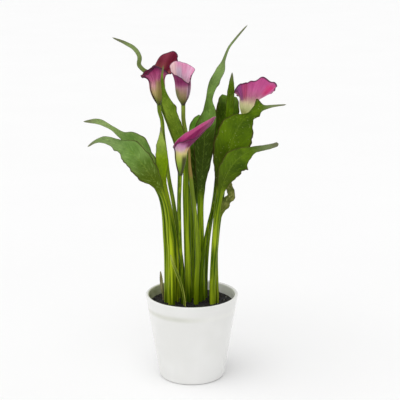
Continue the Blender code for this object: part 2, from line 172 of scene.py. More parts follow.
print("mid grey on screen is", round(colour(128, 128, 128)[0], 3), "in a shader")

# %% Places, textures and bumps
def stored(name):
    """A number that each piece keeps at its points, such as how far along it they are."""
    return add_node("Attribute", attribute_name=name).outputs["Fac"]


def object_place(scale=(1.0, 1.0, 1.0)):
    """Where a point is on the object, in metres, with each direction scaled."""
    place = add_node("TexCoord").outputs["Object"]
    return add_node("Mapping", {"Vector": place, "Scale": scale}).outputs[0]


def along_axis(axis):
    """How far a point lies along the object's own X, Y or Z, in metres."""
    return add_node("SeparateXYZ", {0: object_place()}).outputs[axis]


def as_place(x, y, z=0.0):
    """Makes three numbers one place, on which a texture can be laid."""
    return add_node("CombineXYZ", {0: x, 1: y, 2: z}).outputs[0]


def noise(place, scale, detail=3.0, roughness=0.5):
    sockets = {"Vector": place, "Scale": scale, "Detail": detail, "Roughness": roughness}
    return add_node("TexNoise", sockets).outputs[0]


def spots(scale, edge, core):
    """Scattered round spots, from 0 at the edge of each to 1 in its core."""
    cells = add_node("TexVoronoi", {"Vector": object_place(), "Scale": scale})
    return between(cells.outputs["Distance"], edge, core)


def end_finish(made, face, height, distance, strength=1.0):
    """Gives the shader its colour and its bumps, and returns the finished material."""
    bumps = {"Height": height, "Distance": distance, "Strength": strength}
    fill(shader_sockets()["Normal"], add_node("Bump", bumps).outputs[0])
    fill(shader_sockets()["Base Color"], face)
    return made


print("node helpers ready")

# %% [markdown]
# ## The leaf finish
#
# A calla leaf is smooth and a little waxy. Fine side veins leave the midrib at a slant and
# bend towards the tip, the margin dries to a thin brown line, and the drawn-out tip is dull.
# The stalk is paler, with streaks along it that are partly its own and partly painted light
# and shade. On most leaves painted shade darkens the lower blade, a painted highlight
# lightens the tail, and the light flecks are painted highlights too. Each leaf keeps numbers
# at its points: how far across the blade they are, how far along, and which side vein they
# lie on. The finish reads those numbers, so the veins follow the leaf however it bends.

# %% Recipe for a leaf
VEIN_SPACING = 3.4
VEIN_CROWDING = 0.22
STALK_STRIPES = 1.3
STRIPE_LENGTH = 90.0
# Shares of the blade between which the painted shade low on the blade takes over.
SHADED_LOWER_PART = (0.44, 0.18)
# Start, end and strength of the painted highlight along the tail of a leaf.
TAIL_HIGHLIGHT = (0.5, 0.86, 0.34)


def leaf_finish(name, light, dark, low, stalk, shade_span=SHADED_LOWER_PART, tail_highlight=TAIL_HIGHLIGHT, specks=0.12):
    made = start_finish(name, Roughness=0.42, Specular_IOR_Level=0.08)
    across = stored("across")
    from_midrib = calculate("ABSOLUTE", across)
    blade, share = stored("blade"), stored("share")

    # Soft clouds of two greens, another green low on the blade that is painted shade, and a paler
    # tail that is a painted highlight.
    cloud = between(noise(object_place(), 34.0, 4.0), 0.32, 0.68)
    face = two_tone(cloud, dark, light)
    face = tint(face, between(share, *shade_span), low)
    tail_start, tail_end, tail_strength = tail_highlight
    painted_highlight = between(share, tail_start, tail_end, 0.0, tail_strength)
    face = tint(face, painted_highlight, (172, 182, 142))

    # Dark flecks, and light flecks that are painted highlights, drawn out along the side veins.
    vein_number = stored("vein")
    fleck_place = as_place(times(vein_number, VEIN_CROWDING), times(across, 1.6))
    fleck = noise(fleck_place, 1.5, 4.0, 0.65)
    face = tint(face, between(fleck, 0.46, 0.30, 0.0, 0.42), (28, 48, 0))
    painted_glint = (light[0] + 44, light[1] + 44, light[2] + 24)
    face = tint(face, between(fleck, 0.54, 0.72, 0.0, 0.5), painted_glint)

    # Side veins, the midrib and small pale specks.
    vein_turn = times(vein_number, 2.0 * math.pi / VEIN_SPACING)
    vein = between(calculate("SINE", vein_turn), 0.35, 1.0)
    face = tint(face, vein, (160, 186, 70), 0.14)
    face = tint(face, between(from_midrib, 0.06, 0.02), (150, 172, 60), 0.16)
    face = tint(face, spots(240.0, 0.22, 0.10), (190, 200, 130), specks)

    # The stalk has streaks darker and paler than its own green, partly its own and partly painted
    # light and shade, and darkens higher up.
    section = as_place(stored("section_x"), stored("section_y"),
                       calculate("DIVIDE", stored("along"), STRIPE_LENGTH))
    streak = between(noise(section, STALK_STRIPES, 3.0), 0.36, 0.64)
    shaded_streak = (stalk[0] * 0.56, stalk[1] * 0.66, 0)
    lit_streak = (stalk[0] * 1.32 + 28, stalk[1] * 1.25 + 25, stalk[2] * 1.3 + 22)
    stem = two_tone(streak, shaded_streak, lit_streak)
    higher = between(along_axis("Z"), 0.19, 0.26, 0.0, 0.45)
    stem = tint(stem, higher, (64, 98, 0))
    face = blend(blade, stem, face)

    # A thin brown margin and a dull, dry tip.
    margin = times(between(from_midrib, 0.86, 0.975), blade)
    face = tint(face, margin, (78, 62, 34), 0.8)
    face = tint(face, between(share, 0.86, 0.98), (112, 108, 88), 0.75)
    relief = times(times(vein, blade), -1.0)
    relief = calculate("ADD", relief, times(streak, 0.35))
    return end_finish(made, face, relief, 0.25 * MM, 0.7)


print("leaf veins are", VEIN_SPACING, "mm apart")

# %% [markdown]
# ## Lines that bend smoothly
#
# A leaf or a stem follows a line through a few points. The line has to bend as smoothly as a
# grown thing, and it must pass through its points, because the CAD solids do. A cubic curve
# between each two points does that. Side and front directions are then carried up the line
# without twisting, so that a blade laid on them doesn't spin.

# %% Helpers for smooth lines and their directions
def smoothstep(value):
    value = np.clip(value, 0.0, 1.0)
    return value * value * (3.0 - 2.0 * value)


def cubic(knots, values, samples, limited=False, upright=False):
    """Smooth curve through values at knots. A limited one never swings past them, and
    an upright one leaves its first two points straight up."""
    knots = np.asarray(knots, float)
    values = np.asarray(values, float)
    column = (-1,) + (1,) * (values.ndim - 1)
    steps = np.diff(knots).reshape(column)
    slopes = np.diff(values, axis=0) / steps
    tangents = np.concatenate([slopes[:1], slopes[:-1], slopes[-1:]])
    before, after = slopes[:-1], slopes[1:]
    if limited:
        total = np.where(before + after == 0.0, 1.0, before + after)
        tangents[1:-1] = np.where(before * after > 0.0, 2.0 * before * after / total, 0.0)
    else:
        tangents[1:-1] = (before * steps[1:] + after * steps[:-1]) / (steps[:-1] + steps[1:])
    if upright:
        tangents[:2] = (0.0, 0.0, 1.0)
    cell = np.clip(np.searchsorted(knots, samples, "right") - 1, 0, len(knots) - 2)
    step = steps[cell]
    share = (np.asarray(samples, float) - knots[cell]).reshape(column) / step
    square, cube = share**2, share**3
    return (
        (2 * cube - 3 * square + 1) * values[cell]
        + (cube - 2 * square + share) * step * tangents[cell]
        + (3 * square - 2 * cube) * values[cell + 1]
        + (cube - square) * step * tangents[cell + 1]
    )


def unit(vectors):
    return vectors / np.linalg.norm(vectors, axis=-1, keepdims=True)


def distances(places):
    steps = np.linalg.norm(np.diff(np.array(places, float), axis=0), axis=1)
    return np.concatenate([[0.0], np.cumsum(steps)])


def directions(line):
    """Side and front directions along a line, carried up it. The first front is -Y."""
    along = unit(np.gradient(line, axis=0))
    fronts = np.empty_like(line)
    front = np.array((0.0, -1.0, 0.0))
    for place, heading in enumerate(along):
        front = unit(front - heading * front.dot(heading))
        fronts[place] = front
    return np.cross(along, fronts), fronts


print("line helpers ready")

# %% [markdown]
# ## A skin from a flat grid
#
# A leaf with its round stalk is one closed skin. A flat grid primitive is a good start for
# it, because a grid has neat rows and a ready UV map. Its rows become rings up the leaf and
# its columns run round each ring. The two long sides then meet and are merged, and the open
# ends are filled. Numbers for the finish are stored at the points.

# %% Helpers that bend a grid into a closed skin
def clear_selection():
    for chosen in list(bpy.context.selected_objects):
        chosen.select_set(False)


def lay_grid(name, points):
    """A grid primitive whose points are moved to the rows and columns of this array."""
    rows, columns = points.shape[:2]
    clear_selection()
    bpy.ops.mesh.primitive_grid_add(x_subdivisions=columns - 1, y_subdivisions=rows - 1, size=1.0)
    made = bpy.context.object
    made.name = made.data.name = name
    flat = np.empty(len(made.data.vertices) * 3)
    made.data.vertices.foreach_get("co", flat)
    column, row = np.round(
        (flat.reshape(-1, 3)[:, :2] + 0.5) * (columns - 1, rows - 1)
    ).astype(int).T
    made.data.vertices.foreach_set("co", (points[row, column] * MM).ravel())
    return made, row, column


def keep_numbers(piece, row, column, **grids):
    """Stores numbers at the points, each name given for the rows and columns of the grid."""
    shape = (row.max() + 1, column.max() + 1)
    for name, grid in grids.items():
        held = piece.data.attributes.new(name, "FLOAT", "POINT")
        values = np.broadcast_to(grid, shape)[row, column]
        held.data.foreach_set("value", values.astype(np.float32))


def close_skin(piece):
    """Merges the seam, fills the ends and turns every face outwards."""
    bpy.ops.object.mode_set(mode="EDIT")
    bpy.ops.mesh.select_all(action="SELECT")
    bpy.ops.mesh.remove_doubles(threshold=0.001 * MM)
    bpy.ops.mesh.fill_holes(sides=0)
    bpy.ops.mesh.select_all(action="SELECT")
    bpy.ops.mesh.normals_make_consistent(inside=False)
    bpy.ops.object.mode_set(mode="OBJECT")
    bpy.ops.object.shade_smooth()


def place(piece, node, slot, finish):
    """Gives the piece its finish and sets it on the frame in place of a CAD node."""
    piece.data.materials.append(finish)
    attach(piece, "root")
    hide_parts(node)


print("skin helpers ready")

# %% [markdown]
# ## The shape of a leaf
#
# A few sizes give each leaf: where its stalk enters the soil, how thick it is, and rows of
# points up the leaf with the blade's half-width at each. They are the CAD model's sizes,
# and only here and there some millimetres off, where the real plant asked for it. The
# rings of the skin follow a smooth line through those points. Up to where the blade opens
# they are round, and from there on flat.

# %% The rings up a leaf
FOOT_BOTTOM = 98.0
FOOT_TOP = 109.0
STALK_RINGS = 36
BLADE_RINGS = 110
LINE_SAMPLES = 400
TIP_STARTS = 0.985
TIP_NARROWING = 0.9


def leaf_rings(foot, radius, stalk, rows):
    """The rings' distances up the leaf, their frames, half-widths, how much of a blade each
    is, and how far up the blade it lies."""
    path = [(*foot, FOOT_BOTTOM), (*foot, FOOT_TOP)] + [row[:3] for row in rows]
    widths = [radius, radius] + [row[3] for row in rows]
    turns = [0.0, 0.0] + [row[4] if len(row) > 4 else 0.0 for row in rows]
    knots = distances(path)
    opening, opened = knots[stalk + 2], knots[stalk + 3]
    samples = np.linspace(0.0, knots[-1], LINE_SAMPLES)
    line = cubic(knots, path, samples, upright=True)

    stalk_rings = np.linspace(0.0, opening, STALK_RINGS, endpoint=False)
    rings = np.concatenate([stalk_rings, np.linspace(opening, knots[-1], BLADE_RINGS)])
    centre, side, front = (
        np.stack([np.interp(rings, samples, part) for part in grid.T], axis=1)[:, None]
        for grid in (line, *directions(line))
    )
    turn = np.radians(cubic(knots, turns, rings, limited=True))[:, None, None]
    side, front = (
        side * np.cos(turn) - front * np.sin(turn),
        front * np.cos(turn) + side * np.sin(turn),
    )
    blade = smoothstep((rings - opening) / (opened - opening))[:, None]
    share = np.clip((rings - opening) / (knots[-1] - opening), 0.0, 1.0)[:, None]
    tip = smoothstep((share - TIP_STARTS) / (1.0 - TIP_STARTS))
    width = cubic(knots, widths, rings, limited=True)[:, None] * (1.0 - TIP_NARROWING * tip)
    return rings[:, None], (centre, side, front), width, blade, share


print("rings of a leaf:", STALK_RINGS + BLADE_RINGS)

# %% [markdown]
# ## The form of a blade
#
# A blade folds up a little from its midrib, it waves along its edges, and the very margin
# has small frills. It is thick along the midrib and thin at its margin, which the coarse
# solid can't show, so this skin tapers. The margin isn't an even line either. It is a
# little ragged everywhere, and in places a nick narrows one half of the blade or a lobe
# stands out from it. Each of these is a smooth bump along the blade.

# %% Fold, waves, thickness and margins
FOLD_POWER = 1.5
FULL_WAVE_HALF_WIDTH = 8.0
EDGE_LAG = 1.3
RUFFLE_LENGTH = 21.0
RIB_SHARE = 0.35
RIB_WIDTH = 0.09
MIDRIB_THICKNESS = 0.9
MARGIN_THICKNESS = 0.35
FRILL_LAG = 2.4
# Two uneven waves of the margin: how fast they run, their start, the lag of the left edge
# behind the right one, and their height as a share of the half-width.
RAGGED_WAVES = ((47.0, 9.0, 2.0, 0.03), (101.0, 5.0, 4.0, 0.018))


def blade_lift(rings, width, share, across, fold, wave, ruffle):
    """How far the blade rises above its midrib, by its fold, its waves and its frills."""
    height, count, phase = wave
    left = across < 0.0
    full = np.minimum(width / FULL_WAVE_HALF_WIDTH, 1.0)
    folded = width * np.abs(across) ** FOLD_POWER * math.sin(fold)
    ripple = np.sin(2.0 * math.pi * count * share + phase + left * EDGE_LAG)
    frill = np.sin(2.0 * math.pi * rings / RUFFLE_LENGTH + 2.0 * phase + FRILL_LAG * left)
    waved = height * full * across**2 * ripple + ruffle * full * np.abs(across) ** 5 * frill
    return folded + waved


def blade_breadth(share, across, phase, nicks):
    """How broad each ring is, as a share of its half-width, with the nicks and lobes."""
    left = across < 0.0
    ragged = sum(height * np.sin(pace * share + start * phase + lag * left)
                 for pace, start, lag, height in RAGGED_WAVES)
    narrowed = 1.0
    for at, edge_side, depth, length in nicks:
        dent = abs(depth) * np.exp(-(((share - at) / length) ** 2)) * (across * edge_side > 0.0)
        if depth > 0.0:
            narrowed = narrowed - dent
        else:
            ragged = ragged + dent
    return narrowed + ragged * np.abs(across) ** 3


print("a blade is", MARGIN_THICKNESS, "to", MIDRIB_THICKNESS, "mm thick")

# %% A leaf skin from its rows
LEAF_SIDE_COLUMNS = 24
EDGE_CROWDING = 1.2
EDGE_ROUNDING = 6
VEIN_SLANT = 0.9
VEIN_BEND = 1.1


def leaf_skin(name, foot, radius, stalk, fold, wave, rows, nicks=(), ruffle=0.35):
    rings, (centre, side, front), width, blade, share = leaf_rings(foot, radius, stalk, rows)
    # The columns run over the front from right to left, then back over the underside.
    turned = np.linspace(1.0, -3.0, 2 * LEAF_SIDE_COLUMNS + 1)[None, :]
    is_back = turned < -1.0
    spread = np.where(is_back, -2.0 - turned, turned)
    across = np.sign(spread) * np.abs(spread) ** EDGE_CROWDING
    fold, phase = math.radians(fold), wave[2]
    lift = blade_lift(rings, width, share, across, fold, wave, ruffle)
    breadth = blade_breadth(share, across, phase, nicks)
    rib = RIB_SHARE * radius * (1.0 - share) * np.exp(-((across / RIB_WIDTH) ** 2))
    thickness = MARGIN_THICKNESS + (MIDRIB_THICKNESS - MARGIN_THICKNESS) * (1.0 - across**2)
    thickness = thickness * np.sqrt(1.0 - np.abs(spread) ** EDGE_ROUNDING)

    # A ring is round where blade is 0 and flat where it is 1.
    ring_angle = math.pi / 2.0 * (1.0 - spread)
    flat = blade * across * breadth * math.cos(fold)
    sideways = width * (flat + (1.0 - blade) * np.cos(ring_angle))
    round_half = (1.0 - blade) * width * np.sin(ring_angle)
    top = blade * (lift + thickness / 2.0) + round_half
    bottom = blade * (lift - thickness / 2.0 - rib) - round_half
    depth = np.where(is_back, bottom, top)
    points = centre + side * sideways[..., None] + front * depth[..., None]

    # Each leaf's streaks start elsewhere, so that no two stalks look alike.
    own_start = 40.0 * phase + 9.0 * foot[0]
    piece, row, column = lay_grid(name, points)
    keep_numbers(
        piece, row, column, across=across, blade=blade, share=share, along=rings + own_start,
        vein=rings - np.abs(across) * width * (VEIN_SLANT + VEIN_BEND * np.abs(across)),
        section_x=np.cos(ring_angle),
        section_y=np.where(is_back, -1.0, 1.0) * np.sin(ring_angle))
    close_skin(piece)
    return piece


print("a leaf skin has", (STALK_RINGS + BLADE_RINGS) * 2 * LEAF_SIDE_COLUMNS, "points")

# %% [markdown]
# ## The leaves
#
# Each leaf has its own sizes, in millimetres, and its own greens. Young leaves are
# yellow-green, old ones deep green, and the back ones stand in the shade of the clump. The
# leaves of the left side come first, then the middle and the right, the back, and at the
# end the small pieces. How each list is read:
#
# - foot is where the stalk stands, with X to the right and Y away, and radius its thickness
# - stalk is how many rows pass before the blade starts to open
# - fold is the angle at which the halves rise, and wave the height, number and start of
#   the waves along the edges
# - rows are X, Y and Z of the midrib, the blade's half-width there and, if the blade is
#   turned on its line, by how many degrees

# %% Sizes of every leaf
LEAVES = {
    "leaf_tall_left": dict(
        foot=(-15, 18), radius=3.4, stalk=2, fold=16, wave=(1.2, 2, 0.5),
        rows=[(-19, 24, 191, 2.9), (-18, 28, 248, 2.7), (-19, 32, 312, 2.5),
              (-31, 35, 358, 5), (-45, 36, 395, 5.5), (-52, 35, 413, 4),
              (-59, 33, 425, 3.4, 20), (-67, 30, 431, 3.4, 40), (-72, 28, 438, 3.4, 30),
              (-71, 26, 449, 3.2, 10), (-76, 24, 459, 3), (-89, 21, 468, 2.5),
              (-107, 18, 476, 0.8)]),
    "leaf_broad_left_back": dict(
        foot=(-34, -1), radius=4.8, stalk=1, fold=14, wave=(1.5, 2, 2.0),
        rows=[(-36, 0, 197, 3.8), (-43, 4, 258, 3), (-49, 5, 275, 5), (-57, 6, 299, 11),
              (-67, 6, 324, 16), (-82, 6, 337, 13.5), (-97, 5, 346, 5),
              (-109, 4, 355, 3.2), (-127, 3, 364, 4), (-147, 1, 364, 0.8)]),
    "leaf_broad_left_front": dict(
        foot=(-28, -13), radius=4.6, stalk=1, fold=16, wave=(1.8, 3, 0.0),
        rows=[(-30, -15, 202, 3.8), (-38, -20, 262, 3.2), (-45, -22, 280, 7),
              (-57, -26, 298, 15), (-70, -29, 317, 18), (-83, -31, 331, 17),
              (-97, -32, 339, 8), (-113, -32, 345, 6), (-127, -31, 343, 2.6),
              (-139, -29, 335, 0.8)]),
    "leaf_short_left": dict(
        foot=(-21, 3), radius=3.4, stalk=1, fold=18, wave=(0.8, 2, 1.0),
        rows=[(-23.5, -1, 198, 3.6), (-34, -7, 263, 3.2), (-39, -9, 285, 5),
              (-40, -11, 313, 9), (-41, -12, 334, 7), (-41, -12, 349, 2.5),
              (-41, -12, 360, 0.8)]),
    "leaf_centre_left": dict(
        foot=(-5, 0), radius=4.9, stalk=2, fold=20, wave=(1.0, 2, 0.0),
        rows=[(-7, -3, 220, 4.4), (-8, -5, 270, 4.3), (-8, -7, 296, 3.8),
              (-11, -8, 320, 7), (-16, -8, 343, 9), (-24, -9, 368, 9),
              (-32, -10, 390, 8), (-37, -12, 409, 3), (-39, -15, 425, 2),
              (-37, -20, 443, 0.8)]),
    "leaf_tall_right": dict(
        foot=(15, 10), radius=4.2, stalk=1, fold=16, wave=(1.6, 3, 1.2),
        rows=[(13, 11, 209, 4), (12, 11, 245, 4.6), (13, 11, 273, 6.4), (15, 10, 302, 11),
              (17, 10, 326, 14), (19, 11, 351, 15), (24, 12, 375, 10), (24, 14, 394, 5),
              (28, 16, 411, 6.5), (39, 20, 431, 6.2), (44, 23, 445, 2.4),
              (51, 26, 462, 1.6), (62, 28, 476, 1.5), (76, 29, 492, 0.8)]),
    "leaf_broad_right_upper": dict(
        foot=(29, 3), radius=4.4, stalk=1, fold=12, wave=(2.0, 3, 0.6),
        rows=[(32, 2, 197, 4), (38, 2, 261, 4.6), (41, 2, 278, 8), (46, 1, 304, 17),
              (54, 0, 331, 25), (62, -1, 354, 24), (74, -2, 371, 14),
              (88, -3, 381, 6.5), (104, -3, 385, 2.5), (128, -3, 388, 0.8)]),
    "leaf_broad_right_lower": dict(
        foot=(29, -10), radius=4.4, stalk=1, fold=14, wave=(1.5, 2, 2.4),
        rows=[(32.5, -14, 201, 4), (39, -18, 263, 3.2), (43, -20, 282, 8),
              (51, -22, 302, 15.5), (61, -24, 316, 17.5), (73, -25, 325, 10.5),
              (86, -25, 331, 5), (102, -24, 334, 3.8), (117, -23, 338, 3)]),
    "leaf_centre_back": dict(
        foot=(1, 16), radius=3.6, stalk=1, fold=10, wave=(1.2, 3, 0.0),
        rows=[(1, 21, 192, 3.8), (1.5, 24, 245, 5.8), (5, 25, 277, 9), (10, 26, 306, 14),
              (12, 27, 330, 17), (13, 31, 349, 17), (18, 40, 358, 13),
              (20, 55, 359, 10), (23, 70, 350, 6), (26, 86, 334, 1)]),
    "leaf_right_back": dict(
        foot=(19, 21), radius=3.4, stalk=1, fold=10, wave=(1.2, 3, 1.5),
        rows=[(23, 27, 193, 3.2), (31, 31, 243, 3), (39, 35, 290, 7), (41, 37, 318, 12),
              (46, 38, 346, 16.5), (49, 40, 370, 16.5), (51, 45, 383, 15),
              (52, 56, 390, 11), (53, 71, 386, 7), (55, 88, 373, 1)]),
    "leaf_rolled": dict(
        foot=(32, 13), radius=2.8, stalk=2, fold=28, wave=(0.0, 1, 0.0),
        rows=[(37, 11, 209, 2.5), (43, 10, 259, 2.5), (47, 9, 309, 2.8),
              (50, 9, 351, 4.8), (52, 9, 379, 6.2), (53, 9, 399, 5.8),
              (54, 10, 414, 4.2), (55, 10, 430, 0.8)]),
    "leaf_curled": dict(
        foot=(36, -3), radius=2.2, stalk=1, fold=20, wave=(1.2, 3, 0.0), ruffle=1.6,
        rows=[(36, -6, 206, 1.8), (39, -8, 231, 2), (42, -10, 245, 5.5),
              (47, -11, 254, 7.5), (52, -12, 261, 7.5), (53.5, -13, 268, 6),
              (52, -14, 274, 5), (50, -15, 281, 5.5), (49, -15, 290, 2)]),
    "bract_left": dict(
        foot=(-40, 6), radius=1.4, stalk=0, fold=20, wave=(0.0, 1, 0.0),
        rows=[(-42, 6, 125, 2.2), (-43, 6, 137, 2.4), (-44, 6, 150, 0.8)]),
    "shoot_front": dict(
        foot=(-10, -20), radius=1.9, stalk=2, fold=20, wave=(0.0, 1, 0.0),
        rows=[(-14, -21, 137, 1.9), (-20, -22, 155, 2.1), (-26, -22, 171, 1.8),
              (-29, -21, 182, 0.8)]),
}

print(len(LEAVES), "leaf-like pieces")

# %% Greens of every leaf
# Light and dark green of the blade, the green of its lower part, on most leaves darker as
# painted shade, that of the stalk, and for some leaves the two shares of the blade between
# which that painted shade takes over.
GREENS = {
    "leaf_tall_left": ((122, 150, 70), (76, 106, 34), (92, 122, 20), (84, 112, 6)),
    "leaf_broad_left_back": ((156, 186, 100), (108, 148, 66), (88, 104, 26), (96, 122, 12)),
    "leaf_broad_left_front": ((144, 180, 98), (88, 132, 44), (76, 96, 4), (118, 142, 10),
                              (0.62, 0.22)),
    "leaf_short_left": ((162, 196, 16), (118, 152, 0), (118, 142, 4), (118, 142, 12)),
    "leaf_centre_left": ((138, 166, 48), (82, 112, 12), (80, 106, 4), (96, 122, 6)),
    "leaf_tall_right": ((124, 164, 74), (66, 98, 22), (52, 74, 4), (106, 138, 6), (0.50, 0.34)),
    "leaf_broad_right_upper": ((98, 130, 0), (62, 90, 0), (56, 72, 0), (122, 146, 10)),
    "leaf_broad_right_lower": ((92, 122, 8), (52, 78, 0), (66, 86, 2), (106, 132, 10)),
    "leaf_centre_back": ((134, 192, 66), (80, 136, 26), (56, 76, 4), (82, 110, 4), (0.56, 0.40)),
    "leaf_right_back": ((84, 120, 8), (46, 70, 0), (40, 56, 0), (70, 96, 4)),
    "leaf_rolled": ((96, 130, 0), (60, 84, 0), (54, 76, 0), (86, 112, 6)),
    "leaf_curled": ((198, 196, 112), (52, 68, 6), (104, 112, 40), (94, 116, 14)),
    "shoot_front": ((172, 184, 92), (140, 156, 60), (150, 166, 70), (132, 148, 56)),
}
# Leaves with no painted highlight on the tail, and two whose painted highlight starts late.
NO_TAIL_HIGHLIGHT = (0.5, 0.8, 0.0)
TAIL_HIGHLIGHTS = dict.fromkeys(
    ("leaf_centre_left", "leaf_centre_back", "leaf_right_back", "leaf_rolled", "leaf_curled",
     "shoot_front"), NO_TAIL_HIGHLIGHT)
TAIL_HIGHLIGHTS["leaf_broad_right_upper"] = (0.79, 0.92, 0.5)
TAIL_HIGHLIGHTS["leaf_broad_right_lower"] = (0.66, 0.9, 0.4)
SPECKS = {"leaf_broad_right_upper": 0.35}
print(len(GREENS), "sets of greens")

# %% [markdown]
# ## Nicks and lobes
#
# Real leaves tear and grow unevenly, and these marks make a plant look alive. They could be
# cut out of the finished mesh, but a bump in the blade's width keeps the rings whole. Seven
# leaves have more than the raggedness that all share, and each mark needs four numbers.

# %% Nicks in the margins
# How far along the blade (0 to 1), which edge (1 is the right one, seen up the leaf), how
# deep as a share of the half-width, and over what share of the length. A negative depth is
# a lobe that stands out.
NICKS = {
    "leaf_broad_right_upper": [(0.70, -1, 0.7, 0.05), (0.795, -1, -1.9, 0.02),
                               (0.77, 1, -0.6, 0.022), (0.705, 1, 0.2, 0.02),
                               (0.50, 1, -0.06, 0.03)],
    "leaf_broad_right_lower": [(0.52, 1, -0.18, 0.02), (0.42, 1, 0.10, 0.03)],
    "leaf_broad_left_back": [(0.40, 1, 0.32, 0.07), (0.50, 1, -0.1, 0.025)],
    "leaf_broad_left_front": [(0.70, -1, -0.35, 0.02), (0.64, -1, 0.12, 0.03),
                              (0.30, -1, -0.07, 0.03)],
    "leaf_centre_left": [(0.60, 1, -0.32, 0.03), (0.70, 1, 0.15, 0.03)],
    "leaf_tall_right": [(0.66, 1, -0.35, 0.02), (0.60, -1, 0.15, 0.04)],
    "leaf_curled": [(0.45, 1, 0.35, 0.05), (0.72, 1, -0.2, 0.05), (0.60, -1, 0.3, 0.06)],
}
print(sum(len(found) for found in NICKS.values()), "nicks")

# %% Build the leaves
for leaf_name, greens in GREENS.items():
    finish = leaf_finish(leaf_name + "_finish", *greens, tail_highlight=TAIL_HIGHLIGHTS.get(leaf_name, TAIL_HIGHLIGHT),
                         specks=SPECKS.get(leaf_name, 0.12))
    skin = leaf_skin(leaf_name + "_skin", **LEAVES[leaf_name], nicks=NICKS.get(leaf_name, ()))
    place(skin, leaf_name, "leaf_green", finish)
    print(leaf_name, len(skin.data.polygons), "faces")

# %% [markdown]
# ## The dry bract
#
# A papery brown scale stands at the foot of the plant. It has a leaf's form, so the same
# skin makes it. Its finish is dull and fibrous instead of waxy.

# %% Build the dry bract
def bract_finish():
    made = start_finish("bract_finish", Roughness=0.85)
    fibre = noise(object_place((1.0, 1.0, 0.08)), 700.0, 4.0, 0.6)
    stops = [(0.3, (104, 92, 52)), (0.5, (140, 134, 86)), (0.7, (176, 172, 128))]
    return end_finish(made, ramp(fibre, stops), fibre, 0.3 * MM)


bract = leaf_skin("bract_left_skin", **LEAVES["bract_left"])
place(bract, "bract_left", "dry_bract", bract_finish())
print("bract:", len(bract.data.polygons), "faces")

# %% [markdown]
# ## The flower stems
#
# A calla stem is round, fleshy and nearly straight. A curve with a round bevel gives it,
# and converting the curve to a mesh closes it. Its radius shrinks towards the flower, and
# a thinner neck goes on up inside the funnel to carry the spadix. Each flower has one list
# of sizes, in millimetres and degrees, which its stem, its spadix and its spathe share:
#
# - foot, radii and path give the stem, from its thick end to its thin one
# - neck is where the funnel starts, and lean tips its axis to the right and away
# - seam is the side on which the two margins overlap, where 0 is right and 90 is away
# - girth swells or narrows the funnel: one factor, or one for each of its five heights
# - tip is the side and the length of the pointed tip
# - flare is how far up the rim starts to spread, and over what length
# - rim has sixteen pairs from 0 degrees round: the sheet's length, and its lean at the rim

# %% Sizes of the flowers
FLOWERS = {
    "flower_1": dict(
        foot=(-11, 9), radii=(3.0, 2.7),
        path=[(-21, 6, 217), (-26, 5, 254), (-31.5, 4, 285), (-35.5, 5, 317), (-39, 8, 345),
              (-41, 11, 367)],
        neck=(-44.5, 13, 385), lean=(-0.07, 0.0), seam=195,
        girth=(0.7, 1.0, 0.86, -0.5, -0.5),
        tip=(35, 5), flare=(28, 24),
        rim=[(66, 47), (69, 44), (74, 38), (73, 33), (58, 18), (54, 8), (51, 14), (50, 44),
             (49, 86), (49, 90), (49, 68), (53, 33), (57, 16), (60, 58), (56, 78), (59, 62)]),
    "flower_2": dict(
        foot=(6, -10), radii=(3.5, 2.8),
        path=[(7, -4, 213), (3, 0, 248), (-1, 1, 283), (-3.5, 1, 304), (-5, 0, 329), (-8, -3, 350),
              (-11, -6, 370)],
        neck=(-11, -8, 388), lean=(0.0, 0.0), seam=300,
        girth=(2.2, 1.13, 0.6, 0.0, 0.85),
        tip=(45, 3), flare=(22, 24),
        rim=[(38, -12), (42, 13), (48, 42), (56, 39), (58, 22), (59, 9), (60, 10), (58, 14),
             (54, 19), (50, 23), (47, 30), (44, 31), (38, 6), (34, -9), (32, -14), (34, -15)]),
    "flower_3": dict(
        foot=(-13, -8), radii=(2.4, 1.9),
        path=[(-16, -22, 225), (-16, -30, 262)],
        neck=(-14.5, -38, 298), lean=(0.03, 0.0), seam=180, girth=0.55,
        tip=(0, 4), flare=(28, 16),
        rim=[(89, 39), (86, 39), (71, 37), (63, 39), (54, 36), (48, 27), (44, 23), (41, 26),
             (39, 30), (39, 30), (42, 27), (47, 28), (52, 38), (57, 41), (62, 42), (78, 42)]),
    "flower_4": dict(
        foot=(12, 0), radii=(2.8, 2.3),
        path=[(20, 3, 201), (29, 10, 238), (40, 19, 269), (53, 22, 307), (67, 23, 340)],
        neck=(74, 24, 361), lean=(0.15, 0.0), seam=130,
        girth=(1.6, 1.2, 1.0, 0.17, -0.5),
        tip=(300, 2), flare=(29, 8),
        rim=[(61, 48), (58, 60), (57, 75), (57, 84), (43, 49), (39, 58), (40, 82), (42, 70),
             (45, 48), (50, 32), (56, 24), (58, 14), (66, 29), (70, 24), (69, 30), (69, 39)]),
}
TOUCH_GAP = 0.3
NECK_LENGTH = 8.7


def flower_axes(lean):
    """The flower's own directions: up its axis, and the two across it nearest +X and +Y."""
    axis = unit(np.array((*lean, 1.0)))
    right = unit(np.array((1.0, 0.0, 0.0)) - axis * axis[0])
    return axis, right, np.cross(axis, right)


print(len(FLOWERS), "flowers")

# %% The finish of a stem
def stem_finish(name, low, high, tan_band=None):
    """Streaked green from soil to flower, with one tan stretch on some stems."""
    made = start_finish(name, Roughness=0.42, Specular_IOR_Level=0.08)
    height = along_axis("Z")
    streak = between(noise(object_place((1.0, 1.0, 0.02)), 330.0, 3.0), 0.38, 0.62)
    face = two_tone(between(height, 0.10, 0.36), low, high)
    face = blend(streak, tint(face, 0.32, (16, 30, 0)), face)
    face = tint(face, between(streak, 0.6, 1.0, 0.0, 0.34), (164, 184, 30))
    if tan_band:
        first, last, shade = tan_band
        with_tan = tint(face, between(height, first - 0.01, first, 0.0, 0.85), shade)
        face = blend(between(height, last, last + 0.01), with_tan, face)
    return end_finish(made, face, streak, 0.12 * MM)


